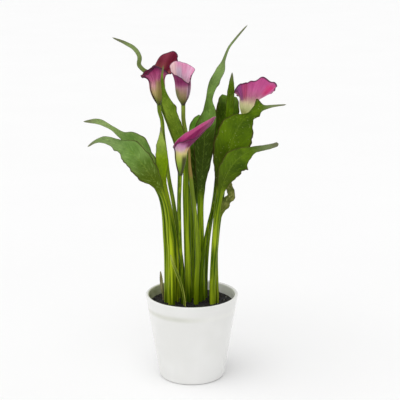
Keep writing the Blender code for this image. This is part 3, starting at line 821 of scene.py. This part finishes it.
# The green at the foot, that at the flower, and a tan stretch from and to a height in metres.
STEM_GREENS = {
    "flower_1": ((80, 106, 4), (128, 154, 50)),
    "flower_2": ((126, 150, 6), (144, 166, 64), (0.292, 0.336, (176, 142, 84))),
    "flower_3": ((84, 110, 4), (100, 126, 14)),
    "flower_4": ((98, 128, 2), (56, 80, 0)),
}
print("stem finishes:", len(STEM_GREENS))

# %% Build the stems
NECK_RADIUS = 1.5
STEM_RUN = 9.0
STEM_RINGS = 64


def stem_piece(name, foot, radii, path, neck, axis):
    neck = np.array(neck, float)
    places = [(*foot, FOOT_BOTTOM), (*foot, FOOT_TOP), *path]
    places += [neck - STEM_RUN * axis, neck - TOUCH_GAP * axis]
    knots = distances(places)
    samples = np.concatenate([[0.0], np.linspace(FOOT_TOP - FOOT_BOTTOM, knots[-1], STEM_RINGS)])
    line = cubic(knots, places, samples, upright=True)
    shrink = np.interp(samples, (knots[1], knots[-1]), radii)
    points = [*line, neck, neck + (NECK_LENGTH - TOUCH_GAP) * axis]
    widths = [*shrink, NECK_RADIUS, NECK_RADIUS]
    clear_selection()
    data = bpy.data.curves.new(name, "CURVE")
    data.dimensions = "3D"
    data.bevel_depth = MM
    data.bevel_resolution = 6
    data.use_fill_caps = True
    run = data.splines.new("POLY")
    run.points.add(len(points) - 1)
    for point, where, width in zip(run.points, points, widths):
        point.co = (*(np.array(where) * MM), 1.0)
        point.radius = width
    piece = bpy.data.objects.new(name, data)
    bpy.context.scene.collection.objects.link(piece)
    piece.select_set(True)
    bpy.context.view_layer.objects.active = piece
    bpy.ops.object.convert(target="MESH")
    close_skin(piece)
    return piece


for flower_name, flower in FLOWERS.items():
    axis = flower_axes(flower["lean"])[0]
    stem = stem_piece(flower_name + "_stem_skin", flower["foot"], flower["radii"],
                      flower["path"], flower["neck"], axis)
    finish = stem_finish(flower_name + "_stem_finish", *STEM_GREENS[flower_name])
    place(stem, flower_name + "_stem", "stem_green", finish)
    print(stem.name, len(stem.data.polygons), "faces")

# %% [markdown]
# ## The spadix
#
# The true flowers of a calla are tiny and sit packed on a yellow spike inside the funnel.
# A skin with rows of small bumps gives that grain. The bumps run in slanted rows, as the
# florets do, and they fade towards the tip.

# %% Build the spadices
SPADIX_LENGTH = 26.0
SPADIX_RADIUS = 2.1
SPADIX_SHARES = (0.0, 0.12, 0.5, 0.85, 0.96, 1.0)
SPADIX_WIDTHS = (0.75, 1.0, 1.0, 0.85, 0.55, 0.2)
FLORETS_ROUND = 9
FLORET_ROWS = 26
FLORET_RISE = 0.22


def spadix_finish():
    made = start_finish("spadix_finish", Roughness=0.6)
    grain = between(noise(object_place(), 900.0, 2.0), 0.35, 0.65)
    face = two_tone(grain, (190, 132, 20), (238, 196, 60))
    tall = between(stored("share"), 0.0, 0.5)
    return end_finish(made, blend(tall, colour(170, 160, 60), face), grain, 0.2 * MM)


def spadix_skin(name, neck, axis, right, away):
    share = np.linspace(0.0, 1.0, 5 * FLORET_ROWS)[:, None]
    turn = np.linspace(0.0, 2.0 * math.pi, 6 * FLORETS_ROUND + 1)[None, :]
    radius = SPADIX_RADIUS * np.interp(share, SPADIX_SHARES, SPADIX_WIDTHS)
    slant = math.pi * FLORET_ROWS * share
    bumps = np.cos(FLORETS_ROUND * turn + slant) * np.cos(FLORETS_ROUND * turn - slant)
    radius = radius + FLORET_RISE * np.abs(bumps) * (1.0 - smoothstep((share - 0.9) / 0.1))
    around = right * np.cos(turn)[..., None] + away * np.sin(turn)[..., None]
    foot = np.array(neck, float) + NECK_LENGTH * axis
    points = foot + axis * (share * SPADIX_LENGTH)[..., None] + around * radius[..., None]
    piece, row, column = lay_grid(name, points)
    keep_numbers(piece, row, column, share=share)
    close_skin(piece)
    return piece


yellow = spadix_finish()
for flower_name, flower in FLOWERS.items():
    spike = spadix_skin(flower_name + "_spadix_skin", flower["neck"], *flower_axes(flower["lean"]))
    place(spike, flower_name + "_spadix", "spadix_yellow", yellow)
    print(spike.name, len(spike.data.polygons), "faces")

# %% [markdown]
# ## The spathes
#
# What looks like the petal of a calla is one leaf, the spathe, rolled into a funnel. Its
# rim flares out, rises to a tip and curls back a little. The roll is a flat grid whose
# columns run round the flower and whose rows run from the neck to the rim. Solidify then
# gives it its thickness, and puts the inner face in a second material, because the inside
# of the funnel has other colours than the outside.

# %% A curve round the rim
RIM_POINTS = 16
RIM_STEP = 2.0 * math.pi / RIM_POINTS


def around_rim(values, angle):
    """Smooth closed curve through sixteen values, evenly round the rim."""
    wrapped = [values[index % RIM_POINTS] for index in range(-2, RIM_POINTS + 3)]
    knots = [index * RIM_STEP for index in range(-2, RIM_POINTS + 3)]
    turned = np.mod(angle, 2.0 * math.pi)
    return cubic(knots, wrapped, turned.ravel()).reshape(turned.shape)


print("rim points are", round(math.degrees(RIM_STEP), 1), "degrees apart")

# %% The rolled sheet of a spathe
SPATHE_ROLL = 0.75
SPATHE_ROLL_SHARE = 0.12
SPATHE_FOOT_RADIUS = 2.7
SPATHE_OVERLAP = 0.3
SPATHE_OVERLAP_SHARE = 0.2
SPATHE_SEAM = 0.12
SPATHE_COLUMNS = 113
SPATHE_ROWS = 49
SPATHE_PARTS = 120
TIP_SPREAD = 0.3
FUNNEL_DISTANCES = (0.0, 6.0, 16.0, 28.0, 40.0)
FUNNEL_LEANS = (8.0, 30.0, 22.0, 6.0, 4.0)
RIM_CURL = 16.0
RIM_CURL_LENGTH = 5.0
PLEATS = 13
PLEATS_START = 0.21875
PLEATS_GROWTH = 0.625


def spathe_sheet(name, neck, lean, seam, girth, tip, flare, rim, pleat):
    axis, right, away = flower_axes(lean)
    # How far round the columns reach, and how long the sheet is at each.
    up = np.linspace(0.0, 1.0, SPATHE_ROWS)
    overlapping = smoothstep(up / SPATHE_OVERLAP_SHARE)
    reach = math.pi - SPATHE_SEAM + (SPATHE_SEAM + SPATHE_OVERLAP) * overlapping
    theta = reach[:, None] * np.linspace(-1.0, 1.0, SPATHE_COLUMNS)[None, :]
    angle = theta + math.radians(seam) + math.pi
    tip_angle, tip_length = tip
    from_tip = np.mod(angle - math.radians(tip_angle) + math.pi, 2.0 * math.pi) - math.pi
    length = around_rim([point[0] for point in rim], angle)
    length = length + tip_length * np.exp(-((from_tip / TIP_SPREAD) ** 2))
    rim_lean = around_rim([point[1] for point in rim], angle)
    flare_start, flare_length = flare

    def lean_at(distance):
        funnel = np.interp(distance, FUNNEL_DISTANCES, np.multiply(girth, FUNNEL_LEANS))
        flared = smoothstep((distance - flare_start) / flare_length)
        curl = RIM_CURL * smoothstep(1.0 - (length - distance) / RIM_CURL_LENGTH)
        return np.radians(funnel + (rim_lean - funnel) * flared + curl)

    # Each column walks from the neck to its rim in small steps, at the lean of that place.
    radius = np.full_like(theta, SPATHE_FOOT_RADIUS)
    height = np.zeros_like(theta)
    for part in range(SPATHE_PARTS):
        step = up[:, None] * length / SPATHE_PARTS
        direction = lean_at((part + 0.5) * step)
        radius += step * np.sin(direction)
        height += step * np.cos(direction)
    distance = up[:, None] * length
    tilt = lean_at(distance)
    # One margin rolls over the other, and pleats grow towards the rim.
    offset = SPATHE_ROLL * theta / math.pi * smoothstep(up / SPATHE_ROLL_SHARE)[:, None]
    risen = smoothstep((distance / length - PLEATS_START) / PLEATS_GROWTH)
    offset = offset + pleat * np.sin(PLEATS * angle + 1.5 * np.sin(3.0 * angle)) * risen
    out = (radius + offset * np.cos(tilt))[..., None]
    along = (height - offset * np.sin(tilt))[..., None]
    around = right * np.cos(angle)[..., None] + away * np.sin(angle)[..., None]
    points = np.array(neck, float) + axis * along + around * out

    piece, row, column = lay_grid(name, points)
    keep_numbers(
        piece, row, column, rise=distance, to_rim=length - distance, turn=theta,
        to_side=(reach[:, None] - theta) * radius, east=np.cos(angle), north=np.sin(angle))
    normals = np.empty(len(piece.data.vertices) * 3)
    piece.data.vertices.foreach_get("normal", normals)
    outwards = (normals.reshape(-1, 3) * around[row, column]).sum()
    return piece, outwards


print("a spathe sheet has", SPATHE_COLUMNS * SPATHE_ROWS, "points")

# %% The thickness of a spathe
SPATHE_THICKNESS = 0.6


def thicken(piece, outwards):
    """Turns the sheet's front outwards and gives it a thickness on its inner side."""
    bpy.ops.object.mode_set(mode="EDIT")
    bpy.ops.mesh.select_all(action="SELECT")
    if outwards < 0.0:
        bpy.ops.mesh.flip_normals()
    bpy.ops.object.mode_set(mode="OBJECT")
    walls = piece.modifiers.new("Thickness", "SOLIDIFY")
    walls.thickness = SPATHE_THICKNESS * MM
    walls.offset = -1.0
    walls.material_offset = 1
    bpy.ops.object.modifier_apply(modifier=walls.name)
    bpy.ops.object.shade_smooth()


print("a spathe is", SPATHE_THICKNESS, "mm thick")

# %% [markdown]
# ## Colours of the spathes
#
# Outside, a spathe is green at the neck, pales to cream and then blushes to purple-pink at
# the rim. Fine veins run up it and fan out with the funnel, and a narrow band along the rim
# is darker. Inside, one flower is deep wine red, one purple with painted shade deepening its
# throat, and two are lighter pink. Each side is a ramp of colours from the neck to the rim,
# with streaks along the veins, and a few tints that sit on one side of the flower only. Some
# of these tints are the flower's own blushes, and others are painted shade and painted
# highlights.

# %% Recipe for one side of a spathe
RAMP_LENGTH = 60.0
SIDE_TINT_FADE = 0.07
GLOSS = 0.25
DARK_RIM = (66, 20, 50)


def tint_one_side(face, rise, toward, width, low, high, shade, strength):
    """Tints the side that faces toward (degrees, 0 is right, 90 away) by up to width degrees
    to each side, between two rises."""
    turned = math.radians(toward)
    east = times(stored("east"), math.cos(turned))
    north = times(stored("north"), math.sin(turned))
    facing = calculate("ADD", east, north)
    edge, middle = (math.cos(math.radians(width * part)) for part in (1.0, 0.3))
    near = between(facing, edge, middle)
    risen = between(rise, low - SIDE_TINT_FADE, low + SIDE_TINT_FADE)
    fallen = between(rise, high + SIDE_TINT_FADE, high - SIDE_TINT_FADE, 0.0, strength)
    return tint(face, times(times(near, risen), fallen), shade)


def spathe_finish(name, stops, streak_shade, rim_shade=DARK_RIM, margin=2.0, side_tints=(),
                  throat_shade=None, gloss=GLOSS):
    made = start_finish(
        name, Roughness=0.5, Specular_IOR_Level=gloss, Sheen_Weight=0.3 * gloss,
        Sheen_Roughness=0.4)
    rise = calculate("DIVIDE", stored("rise"), RAMP_LENGTH)
    to_rim = stored("to_rim")
    soft = noise(object_place(), 55.0, 3.0)
    wander = times(calculate("SUBTRACT", soft, 0.5), 0.16)
    face = ramp(calculate("ADD", rise, wander), stops)
    # Tints on one side: some are the flower's own blushes, others painted shade and painted
    # highlights.
    for one in side_tints:
        face = tint_one_side(face, rise, *one)
    # Painted shade deep in the throat, where the rim is far.
    if throat_shade:
        shade, near, far = throat_shade
        face = tint(face, between(to_rim, near, far), shade)
    lines = as_place(times(stored("turn"), 9.0), times(rise, 1.2))
    vein = between(noise(lines, 2.2, 3.0, 0.6), 0.42, 0.66)
    face = tint(face, vein, streak_shade, 0.22)
    at_rim = between(to_rim, margin * 1.5, margin * 0.5)
    at_side = between(stored("to_side"), 2.6, 1.2, 0.0, 0.9)
    face = tint(face, calculate("MAXIMUM", at_rim, at_side), rim_shade, 0.85)
    return end_finish(made, face, vein, 0.2 * MM, 0.8)


print("a ramp is", RAMP_LENGTH, "mm long")

# %% Colours of each spathe
# outside and inside are ramps of colours, where 0 is the neck and 1 the end of the ramp.
# A side tint is its side in degrees, its width, two rises, its colour and its strength. The
# throat entry is painted shade deep inside: its colour, and how far below the rim it starts
# and is full. margin is the width of the dark band along the rim, inner_rim its colour
# inside, and pleat how deep the ripples of the sheet are, all in millimetres.
SPATHES = {
    "flower_1": dict(
        outside=[(0.0, (56, 80, 4)), (0.16, (122, 128, 40)), (0.34, (200, 176, 116)),
                 (0.48, (226, 168, 168)), (0.64, (204, 106, 150)), (0.8, (178, 62, 120)),
                 (0.92, (122, 20, 78)), (1.0, (100, 4, 60))],
        inside=[(0.0, (96, 50, 44)), (0.5, (154, 90, 76)), (0.85, (148, 78, 72)),
                (1.0, (132, 50, 66))],
        outside_tints=[(290, 40, 0.1, 0.6, (156, 146, 66), 0.8)],
        inside_tints=[(18, 38, 0.4, 1.3, (96, 0, 30), 1.0),
                        (155, 60, 0.5, 1.3, (92, 0, 46), 0.9)],
        inner_rim=DARK_RIM, margin=2.6, pleat=0.9, gloss=0.08),
    "flower_2": dict(
        outside=[(0.0, (56, 80, 4)), (0.12, (106, 112, 40)), (0.28, (158, 136, 98)),
                 (0.42, (178, 128, 138)), (0.5, (150, 66, 112)), (0.58, (126, 24, 84)),
                 (1.0, (130, 36, 96))],
        inside=[(0.0, (196, 132, 152)), (0.5, (214, 182, 200)), (0.75, (232, 184, 212)),
                (1.0, (240, 156, 198))],
        outside_tints=[(200, 50, 0.15, 0.4, (100, 112, 44), 0.8),
                         (330, 40, 0.2, 0.45, (204, 170, 196), 0.8)],
        # The pale tint at 168 degrees is a painted highlight on a fold of the limb.
        inside_tints=[(168, 48, 0.5, 1.2, (255, 218, 216), 0.9),
                        (118, 26, 0.4, 0.85, (216, 206, 222), 0.7),
                        (88, 16, 0.7, 1.2, (236, 150, 190), 0.6),
                        (30, 30, 0.6, 1.2, (240, 146, 192), 0.7)],
        inner_rim=(120, 70, 100), margin=1.2, pleat=0.45),
    "flower_3": dict(
        outside=[(0.0, (50, 80, 4)), (0.12, (100, 132, 14)), (0.28, (140, 174, 34)),
                 (0.44, (190, 200, 84)), (0.54, (228, 214, 142)), (0.62, (222, 184, 196)),
                 (0.74, (206, 134, 182)), (0.86, (118, 8, 78)), (1.0, (104, 0, 66))],
        # Painted shade: the dark low stops of this inside ramp, the inside tint at 334 degrees and
        # the throat entry.
        inside=[(0.0, (80, 0, 54)), (0.5, (100, 0, 66)), (0.68, (132, 10, 88)),
                (0.84, (184, 46, 122)), (1.0, (192, 76, 132))],
        # The dark tints at 332 and 312 degrees are painted shade below the rim and on the funnel's
        # right side.
        outside_tints=[(180, 40, 0.5, 0.72, (150, 142, 178), 0.7),
                         (322, 22, 0.55, 0.74, (226, 190, 128), 0.8),
                         (332, 44, 0.68, 1.5, (112, 4, 76), 1.0),
                         (312, 44, -0.2, 0.46, (52, 60, 0), 0.94)],
        inside_tints=[(334, 50, 0.5, 2.0, (104, 0, 66), 0.95)],
        inner_rim=(176, 124, 150), margin=1.4, pleat=0.35, throat_shade=((128, 0, 80), 9.0, 14.0)),
    "flower_4": dict(
        outside=[(0.0, (150, 170, 40)), (0.16, (220, 226, 120)), (0.36, (255, 255, 186)),
                 (0.46, (252, 240, 186)), (0.56, (226, 172, 170)), (0.68, (218, 120, 162)),
                 (0.85, (216, 100, 162)), (1.0, (206, 82, 150))],
        inside=[(0.0, (180, 110, 130)), (0.6, (204, 98, 154)), (1.0, (192, 72, 144))],
        # The purple tint at 205 degrees is painted shade on the left flare.
        outside_tints=[(335, 24, 0.75, 1.05, (222, 36, 120), 0.85),
                         (205, 35, 0.5, 1.2, (168, 76, 158), 0.8),
                         (238, 20, 0.55, 0.95, (176, 20, 80), 0.5)],
        inside_tints=[],
        inner_rim=DARK_RIM, margin=2.0, pleat=0.9),
}
print(len(SPATHES), "pairs of colour ramps")

# %% Build the spathes
for flower_name, shades in SPATHES.items():
    sheet = {key: value for key, value in FLOWERS[flower_name].items()
             if key not in ("foot", "radii", "path")}
    spathe, outwards = spathe_sheet(flower_name + "_spathe_skin", **sheet, pleat=shades["pleat"])
    outside = spathe_finish(flower_name + "_outside", shades["outside"], (120, 40, 90),
                            margin=shades["margin"], side_tints=shades["outside_tints"])
    inside = spathe_finish(flower_name + "_inside", shades["inside"], (150, 30, 90),
                           shades["inner_rim"], 0.6 * shades["margin"],
                           shades["inside_tints"], shades.get("throat_shade"),
                           shades.get("gloss", GLOSS))
    place(spathe, flower_name + "_spathe", "spathe_purple", outside)
    spathe.data.materials.append(inside)
    bpy.context.view_layer.objects.active = spathe
    thicken(spathe, outwards)
    print(spathe.name, len(spathe.data.polygons), "faces")

# %% [markdown]
# ## The pot
#
# The pot is a thrown cone of glazed ceramic with a rounded foot and a thin lip. A potter
# shapes it by turning, and Spin does the same: the wall's outline is drawn once, from the
# axis out along the foot, up the wall and back down inside, its corners are rounded with a
# vertex bevel, and the outline is turned round the axis.

# %% Build the pot
POT_HEIGHT = 120.0
POT_RIM_RADIUS = 65.0
POT_FOOT_RADIUS = 46.0
POT_WALL = 4.5
POT_FLOOR = 6.0
POT_SIDES = 160
CORNER_STEPS = 6
SOIL_TOP = 107.0


def pot_radius(height):
    return POT_FOOT_RADIUS + (POT_RIM_RADIUS - POT_FOOT_RADIUS) * height / POT_HEIGHT


def select_point(piece, place_at):
    """Selects, in edit mode, the one point of the outline that lies at this place."""
    bpy.ops.object.mode_set(mode="OBJECT")
    for part in (piece.data.polygons, piece.data.edges):
        part.foreach_set("select", [False] * len(part))
    for point in piece.data.vertices:
        point.select = math.dist(point.co / MM, place_at) < 0.01
    bpy.ops.object.mode_set(mode="EDIT")


def turned_outline(name, corners, roundings):
    """Spins an outline of corners (radius, height) from axis to axis into a closed piece."""
    clear_selection()
    bpy.ops.mesh.primitive_circle_add(vertices=len(corners), radius=1.0, fill_type="NOTHING")
    made = bpy.context.object
    made.name = made.data.name = name
    for point, (radius, height) in zip(made.data.vertices, corners):
        point.co = (radius * MM, 0.0, height * MM)
    bpy.ops.object.mode_set(mode="EDIT")
    bpy.context.tool_settings.mesh_select_mode = (True, False, False)
    for (radius, height), rounding in zip(corners, roundings):
        if rounding:
            select_point(made, (radius, 0.0, height))
            bpy.ops.mesh.bevel(offset=rounding * MM, segments=CORNER_STEPS, affect="VERTICES")
    bpy.ops.mesh.select_all(action="SELECT")
    bpy.ops.mesh.spin(steps=POT_SIDES, angle=2.0 * math.pi, center=(0.0, 0.0, 0.0),
                      axis=(0.0, 0.0, 1.0), use_auto_merge=False)
    bpy.ops.mesh.select_all(action="SELECT")
    bpy.ops.mesh.remove_doubles(threshold=0.01 * MM)
    bpy.ops.mesh.delete_loose()
    bpy.ops.mesh.select_all(action="SELECT")
    bpy.ops.mesh.normals_make_consistent(inside=False)
    bpy.ops.object.mode_set(mode="OBJECT")
    bpy.ops.object.shade_smooth_by_angle(angle=math.radians(35.0))
    return made


print("pot wall leans", round(math.degrees(math.atan2(
    POT_RIM_RADIUS - POT_FOOT_RADIUS, POT_HEIGHT)), 1), "degrees")

# %% Turn the pot
pot = turned_outline(
    "pot_glazed",
    [(0.0, 0.0), (POT_FOOT_RADIUS, 0.0), (POT_RIM_RADIUS, POT_HEIGHT),
     (POT_RIM_RADIUS - POT_WALL, POT_HEIGHT), (pot_radius(POT_FLOOR) - POT_WALL, POT_FLOOR),
     (0.0, POT_FLOOR)],
    [0.0, 3.0, 1.6, 1.8, 4.0, 0.0])
print("pot:", len(pot.data.polygons), "faces")

# %% Glaze the pot
# Height over which the soil splash and painted shade of the inner wall fade in, below the bed's
# level.
SPLASH_AND_SHADE_HEIGHT = 10.0


def glaze_finish():
    """White glaze; on the inner wall above the bed, soil splash with painted shade and light."""
    made = start_finish(
        "glaze_finish", Roughness=0.16, Coat_Weight=0.35, Coat_Roughness=0.06, IOR=1.5)
    pool = between(noise(object_place(), 14.0, 2.0), 0.35, 0.65)
    shade = two_tone(pool, (236, 236, 233), (242, 242, 240))
    shade = tint(shade, spots(120.0, 0.045, 0.02), (190, 188, 180), 0.25)
    flat = object_place((1.0, 1.0, 0.0))
    out = add_node("VectorMath", {0: flat}, operation="LENGTH").outputs["Value"]
    inner = between(out, (POT_RIM_RADIUS - 2.0) * MM, (POT_RIM_RADIUS - 4.2) * MM)
    stain = between(noise(object_place((1.0, 1.0, 3.0)), 60.0, 4.0), 0.3, 0.7)
    # Greenish grey of the inner wall, partly soil splash and partly painted shade.
    splash_and_shade = two_tone(stain, (158, 163, 124), (186, 189, 154))
    # Painted shade darkens the inner wall on the left, and painted light makes it near white on
    # the right.
    lit_right_side = between(along_axis("X"), -20.0 * MM, 30.0 * MM)
    splash_and_shade = tint(splash_and_shade, lit_right_side, (246, 246, 240))
    near = (SOIL_TOP - 2.0 - SPLASH_AND_SHADE_HEIGHT) * MM
    above = between(along_axis("Z"), near, near + SPLASH_AND_SHADE_HEIGHT * MM)
    shade = blend(times(inner, above), shade, splash_and_shade)
    ripple = noise(object_place((1.0, 1.0, 2.5)), 30.0, 1.0)
    return end_finish(made, shade, ripple, 0.25 * MM, 0.5)


place(pot, "pot", "glazed_white", glaze_finish())
print("pot glazed")

# %% [markdown]
# ## The soil
#
# Potting soil is a dark, damp, crumbly bed. A grid is wrapped into a disc with a side and a
# bottom, and the points of its top are raised and lowered in lumps. Loose crumbs and a few
# pale grains of perlite then lie on it. One small faceted ball is modelled, and each crumb
# is a copy of it, turned and squeezed its own way by a seeded draw.

# %% Build the bed of soil
SOIL_SIDES = 180
SOIL_RINGS = 60
SOIL_LUMPS = 1.6


def soil_height(x, y):
    """How far the bed stands above or below its mean level, in millimetres: three layers
    of waves, from broad lumps to crumbs."""
    lump = np.sin(0.13 * x + 1.1) * np.cos(0.11 * y - 0.7)
    fine = np.sin(0.9 * x + 0.37 * y) * np.sin(0.81 * y - 0.29 * x + 2.0)
    crumb = np.sin(2.3 * x - 1.9 * y) * np.cos(2.9 * y + 1.3 * x)
    return SOIL_LUMPS * (0.5 * lump + 0.35 * fine + 0.25 * crumb)


bed_bottom = POT_FLOOR + TOUCH_GAP
bed_low = pot_radius(bed_bottom) - POT_WALL - 4.0
bed_high = pot_radius(SOIL_TOP) - POT_WALL - TOUCH_GAP
disc = np.linspace(0.0, bed_high, SOIL_RINGS)
rings_out = np.concatenate([disc, [bed_low, 0.0]])[:, None]
levels = np.concatenate([np.full(SOIL_RINGS, SOIL_TOP), [bed_bottom, bed_bottom]])[:, None]
around = np.linspace(0.0, 2.0 * math.pi, SOIL_SIDES + 1)[None, :]
x, y = rings_out * np.cos(around), rings_out * np.sin(around)
on_top = (levels == SOIL_TOP) * np.minimum(1.0, (bed_high - rings_out) / 3.0)
z = levels + soil_height(x, y) * on_top
bed = lay_grid("soil_bed", np.stack([x, y, z], axis=2))[0]
close_skin(bed)
bpy.ops.object.shade_smooth_by_angle(angle=math.radians(60.0))
print("bed:", len(bed.data.polygons), "faces")

# %% The finish of the soil
def soil_finish(name, dark, light, damp=0.75):
    made = start_finish(name, Roughness=damp)
    grain = noise(object_place(), 520.0, 5.0, 0.7)
    shade = two_tone(between(grain, 0.38, 0.72), dark, light)
    return end_finish(made, shade, grain, 1.2 * MM)


bed_finish = soil_finish("soil_finish", (8, 9, 12), (32, 30, 28))
place(bed, "soil", "soil", bed_finish)
print("soil finished")

# %% Scatter crumbs and perlite
CRUMBS = 520
PERLITE = 16
SCATTER_SEED = 11
draw = np.random.default_rng(SCATTER_SEED)


def scatter(name, count, small, large, finish):
    """Copies of one small ball, laid on the bed and joined in one piece."""
    clear_selection()
    bpy.ops.mesh.primitive_ico_sphere_add(subdivisions=1, radius=MM)
    first = bpy.context.object
    for _ in range(count):
        turn = draw.uniform(0.0, 2.0 * math.pi)
        out = (bed_high - 3.0) * math.sqrt(draw.uniform(0.0, 1.0))
        x, y = out * math.cos(turn), out * math.sin(turn)
        size = draw.uniform(small, large)
        level = SOIL_TOP + soil_height(x, y) + 0.25 * size
        ball = first.copy()
        ball.data = first.data.copy()
        ball.location = (x * MM, y * MM, level * MM)
        ball.rotation_euler = draw.uniform(0.0, math.pi, 3)
        ball.scale = size * draw.uniform(0.6, 1.2, 3)
        bpy.context.scene.collection.objects.link(ball)
        ball.select_set(True)
        bpy.context.view_layer.objects.active = ball
    first.select_set(False)
    bpy.ops.object.join()
    joined = bpy.context.object
    bpy.ops.object.transform_apply(location=True, rotation=True, scale=True)
    bpy.data.objects.remove(first)
    joined.name = joined.data.name = name
    joined.data.materials.append(finish)
    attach(joined, "root")
    print(name, count, "grains")


crumb_finish = soil_finish("crumb_finish", (20, 17, 18), (66, 54, 46), 0.85)
scatter("soil_crumbs", CRUMBS, 0.7, 2.0, crumb_finish)
perlite_finish = soil_finish("perlite_finish", (120, 118, 112), (168, 166, 160))
scatter("perlite_grains", PERLITE, 0.7, 1.4, perlite_finish)

# %% [markdown]
# ## Floor, light and surroundings
#
# The plant stands on a plain pale floor in a bright white room. The main light is a sun
# lamp, high, a little to the left and in front, so the leaves catch it from above and each
# flower throws a soft shadow on what is below it. A sun lamp lights the whole floor alike,
# and its angle says how soft the shadows are. The white surround fills them.

# %% Floor
FLOOR_SIZE = 60.0
clear_selection()
bpy.ops.mesh.primitive_plane_add(size=FLOOR_SIZE)
floor = bpy.context.object
floor.name = "floor"
floor_paint = start_finish("floor_finish", Roughness=0.9)
mottle = noise(object_place(), 3.0)
fill(shader_sockets()["Base Color"], two_tone(mottle, (245, 245, 245), (248, 248, 248)))
floor.data.materials.append(floor_paint)
print("floor laid")

# %% Lights
KEY_HEIGHT = math.radians(72.0)
KEY_SIDE = math.radians(40.0)
KEY_SOFTNESS = math.radians(60.0)
KEY_STRENGTH = 1.35
SURROUND_STRENGTH = 0.66
lamp_data = bpy.data.lights.new("key_light", "SUN")
lamp_data.angle = KEY_SOFTNESS
lamp_data.energy = KEY_STRENGTH
lamp = bpy.data.objects.new("key_light", lamp_data)
lamp.rotation_euler = (math.pi / 2.0 - KEY_HEIGHT, 0.0, -KEY_SIDE)
bpy.context.scene.collection.objects.link(lamp)

world = bpy.data.worlds.new("surround")
world.use_nodes = True
surround = world.node_tree.nodes["Background"]
surround.inputs["Color"].default_value = (1.0, 1.0, 1.0, 1.0)
surround.inputs["Strength"].default_value = SURROUND_STRENGTH
bpy.context.scene.world = world
bpy.context.scene.view_settings.view_transform = "Standard"
print("lights set")
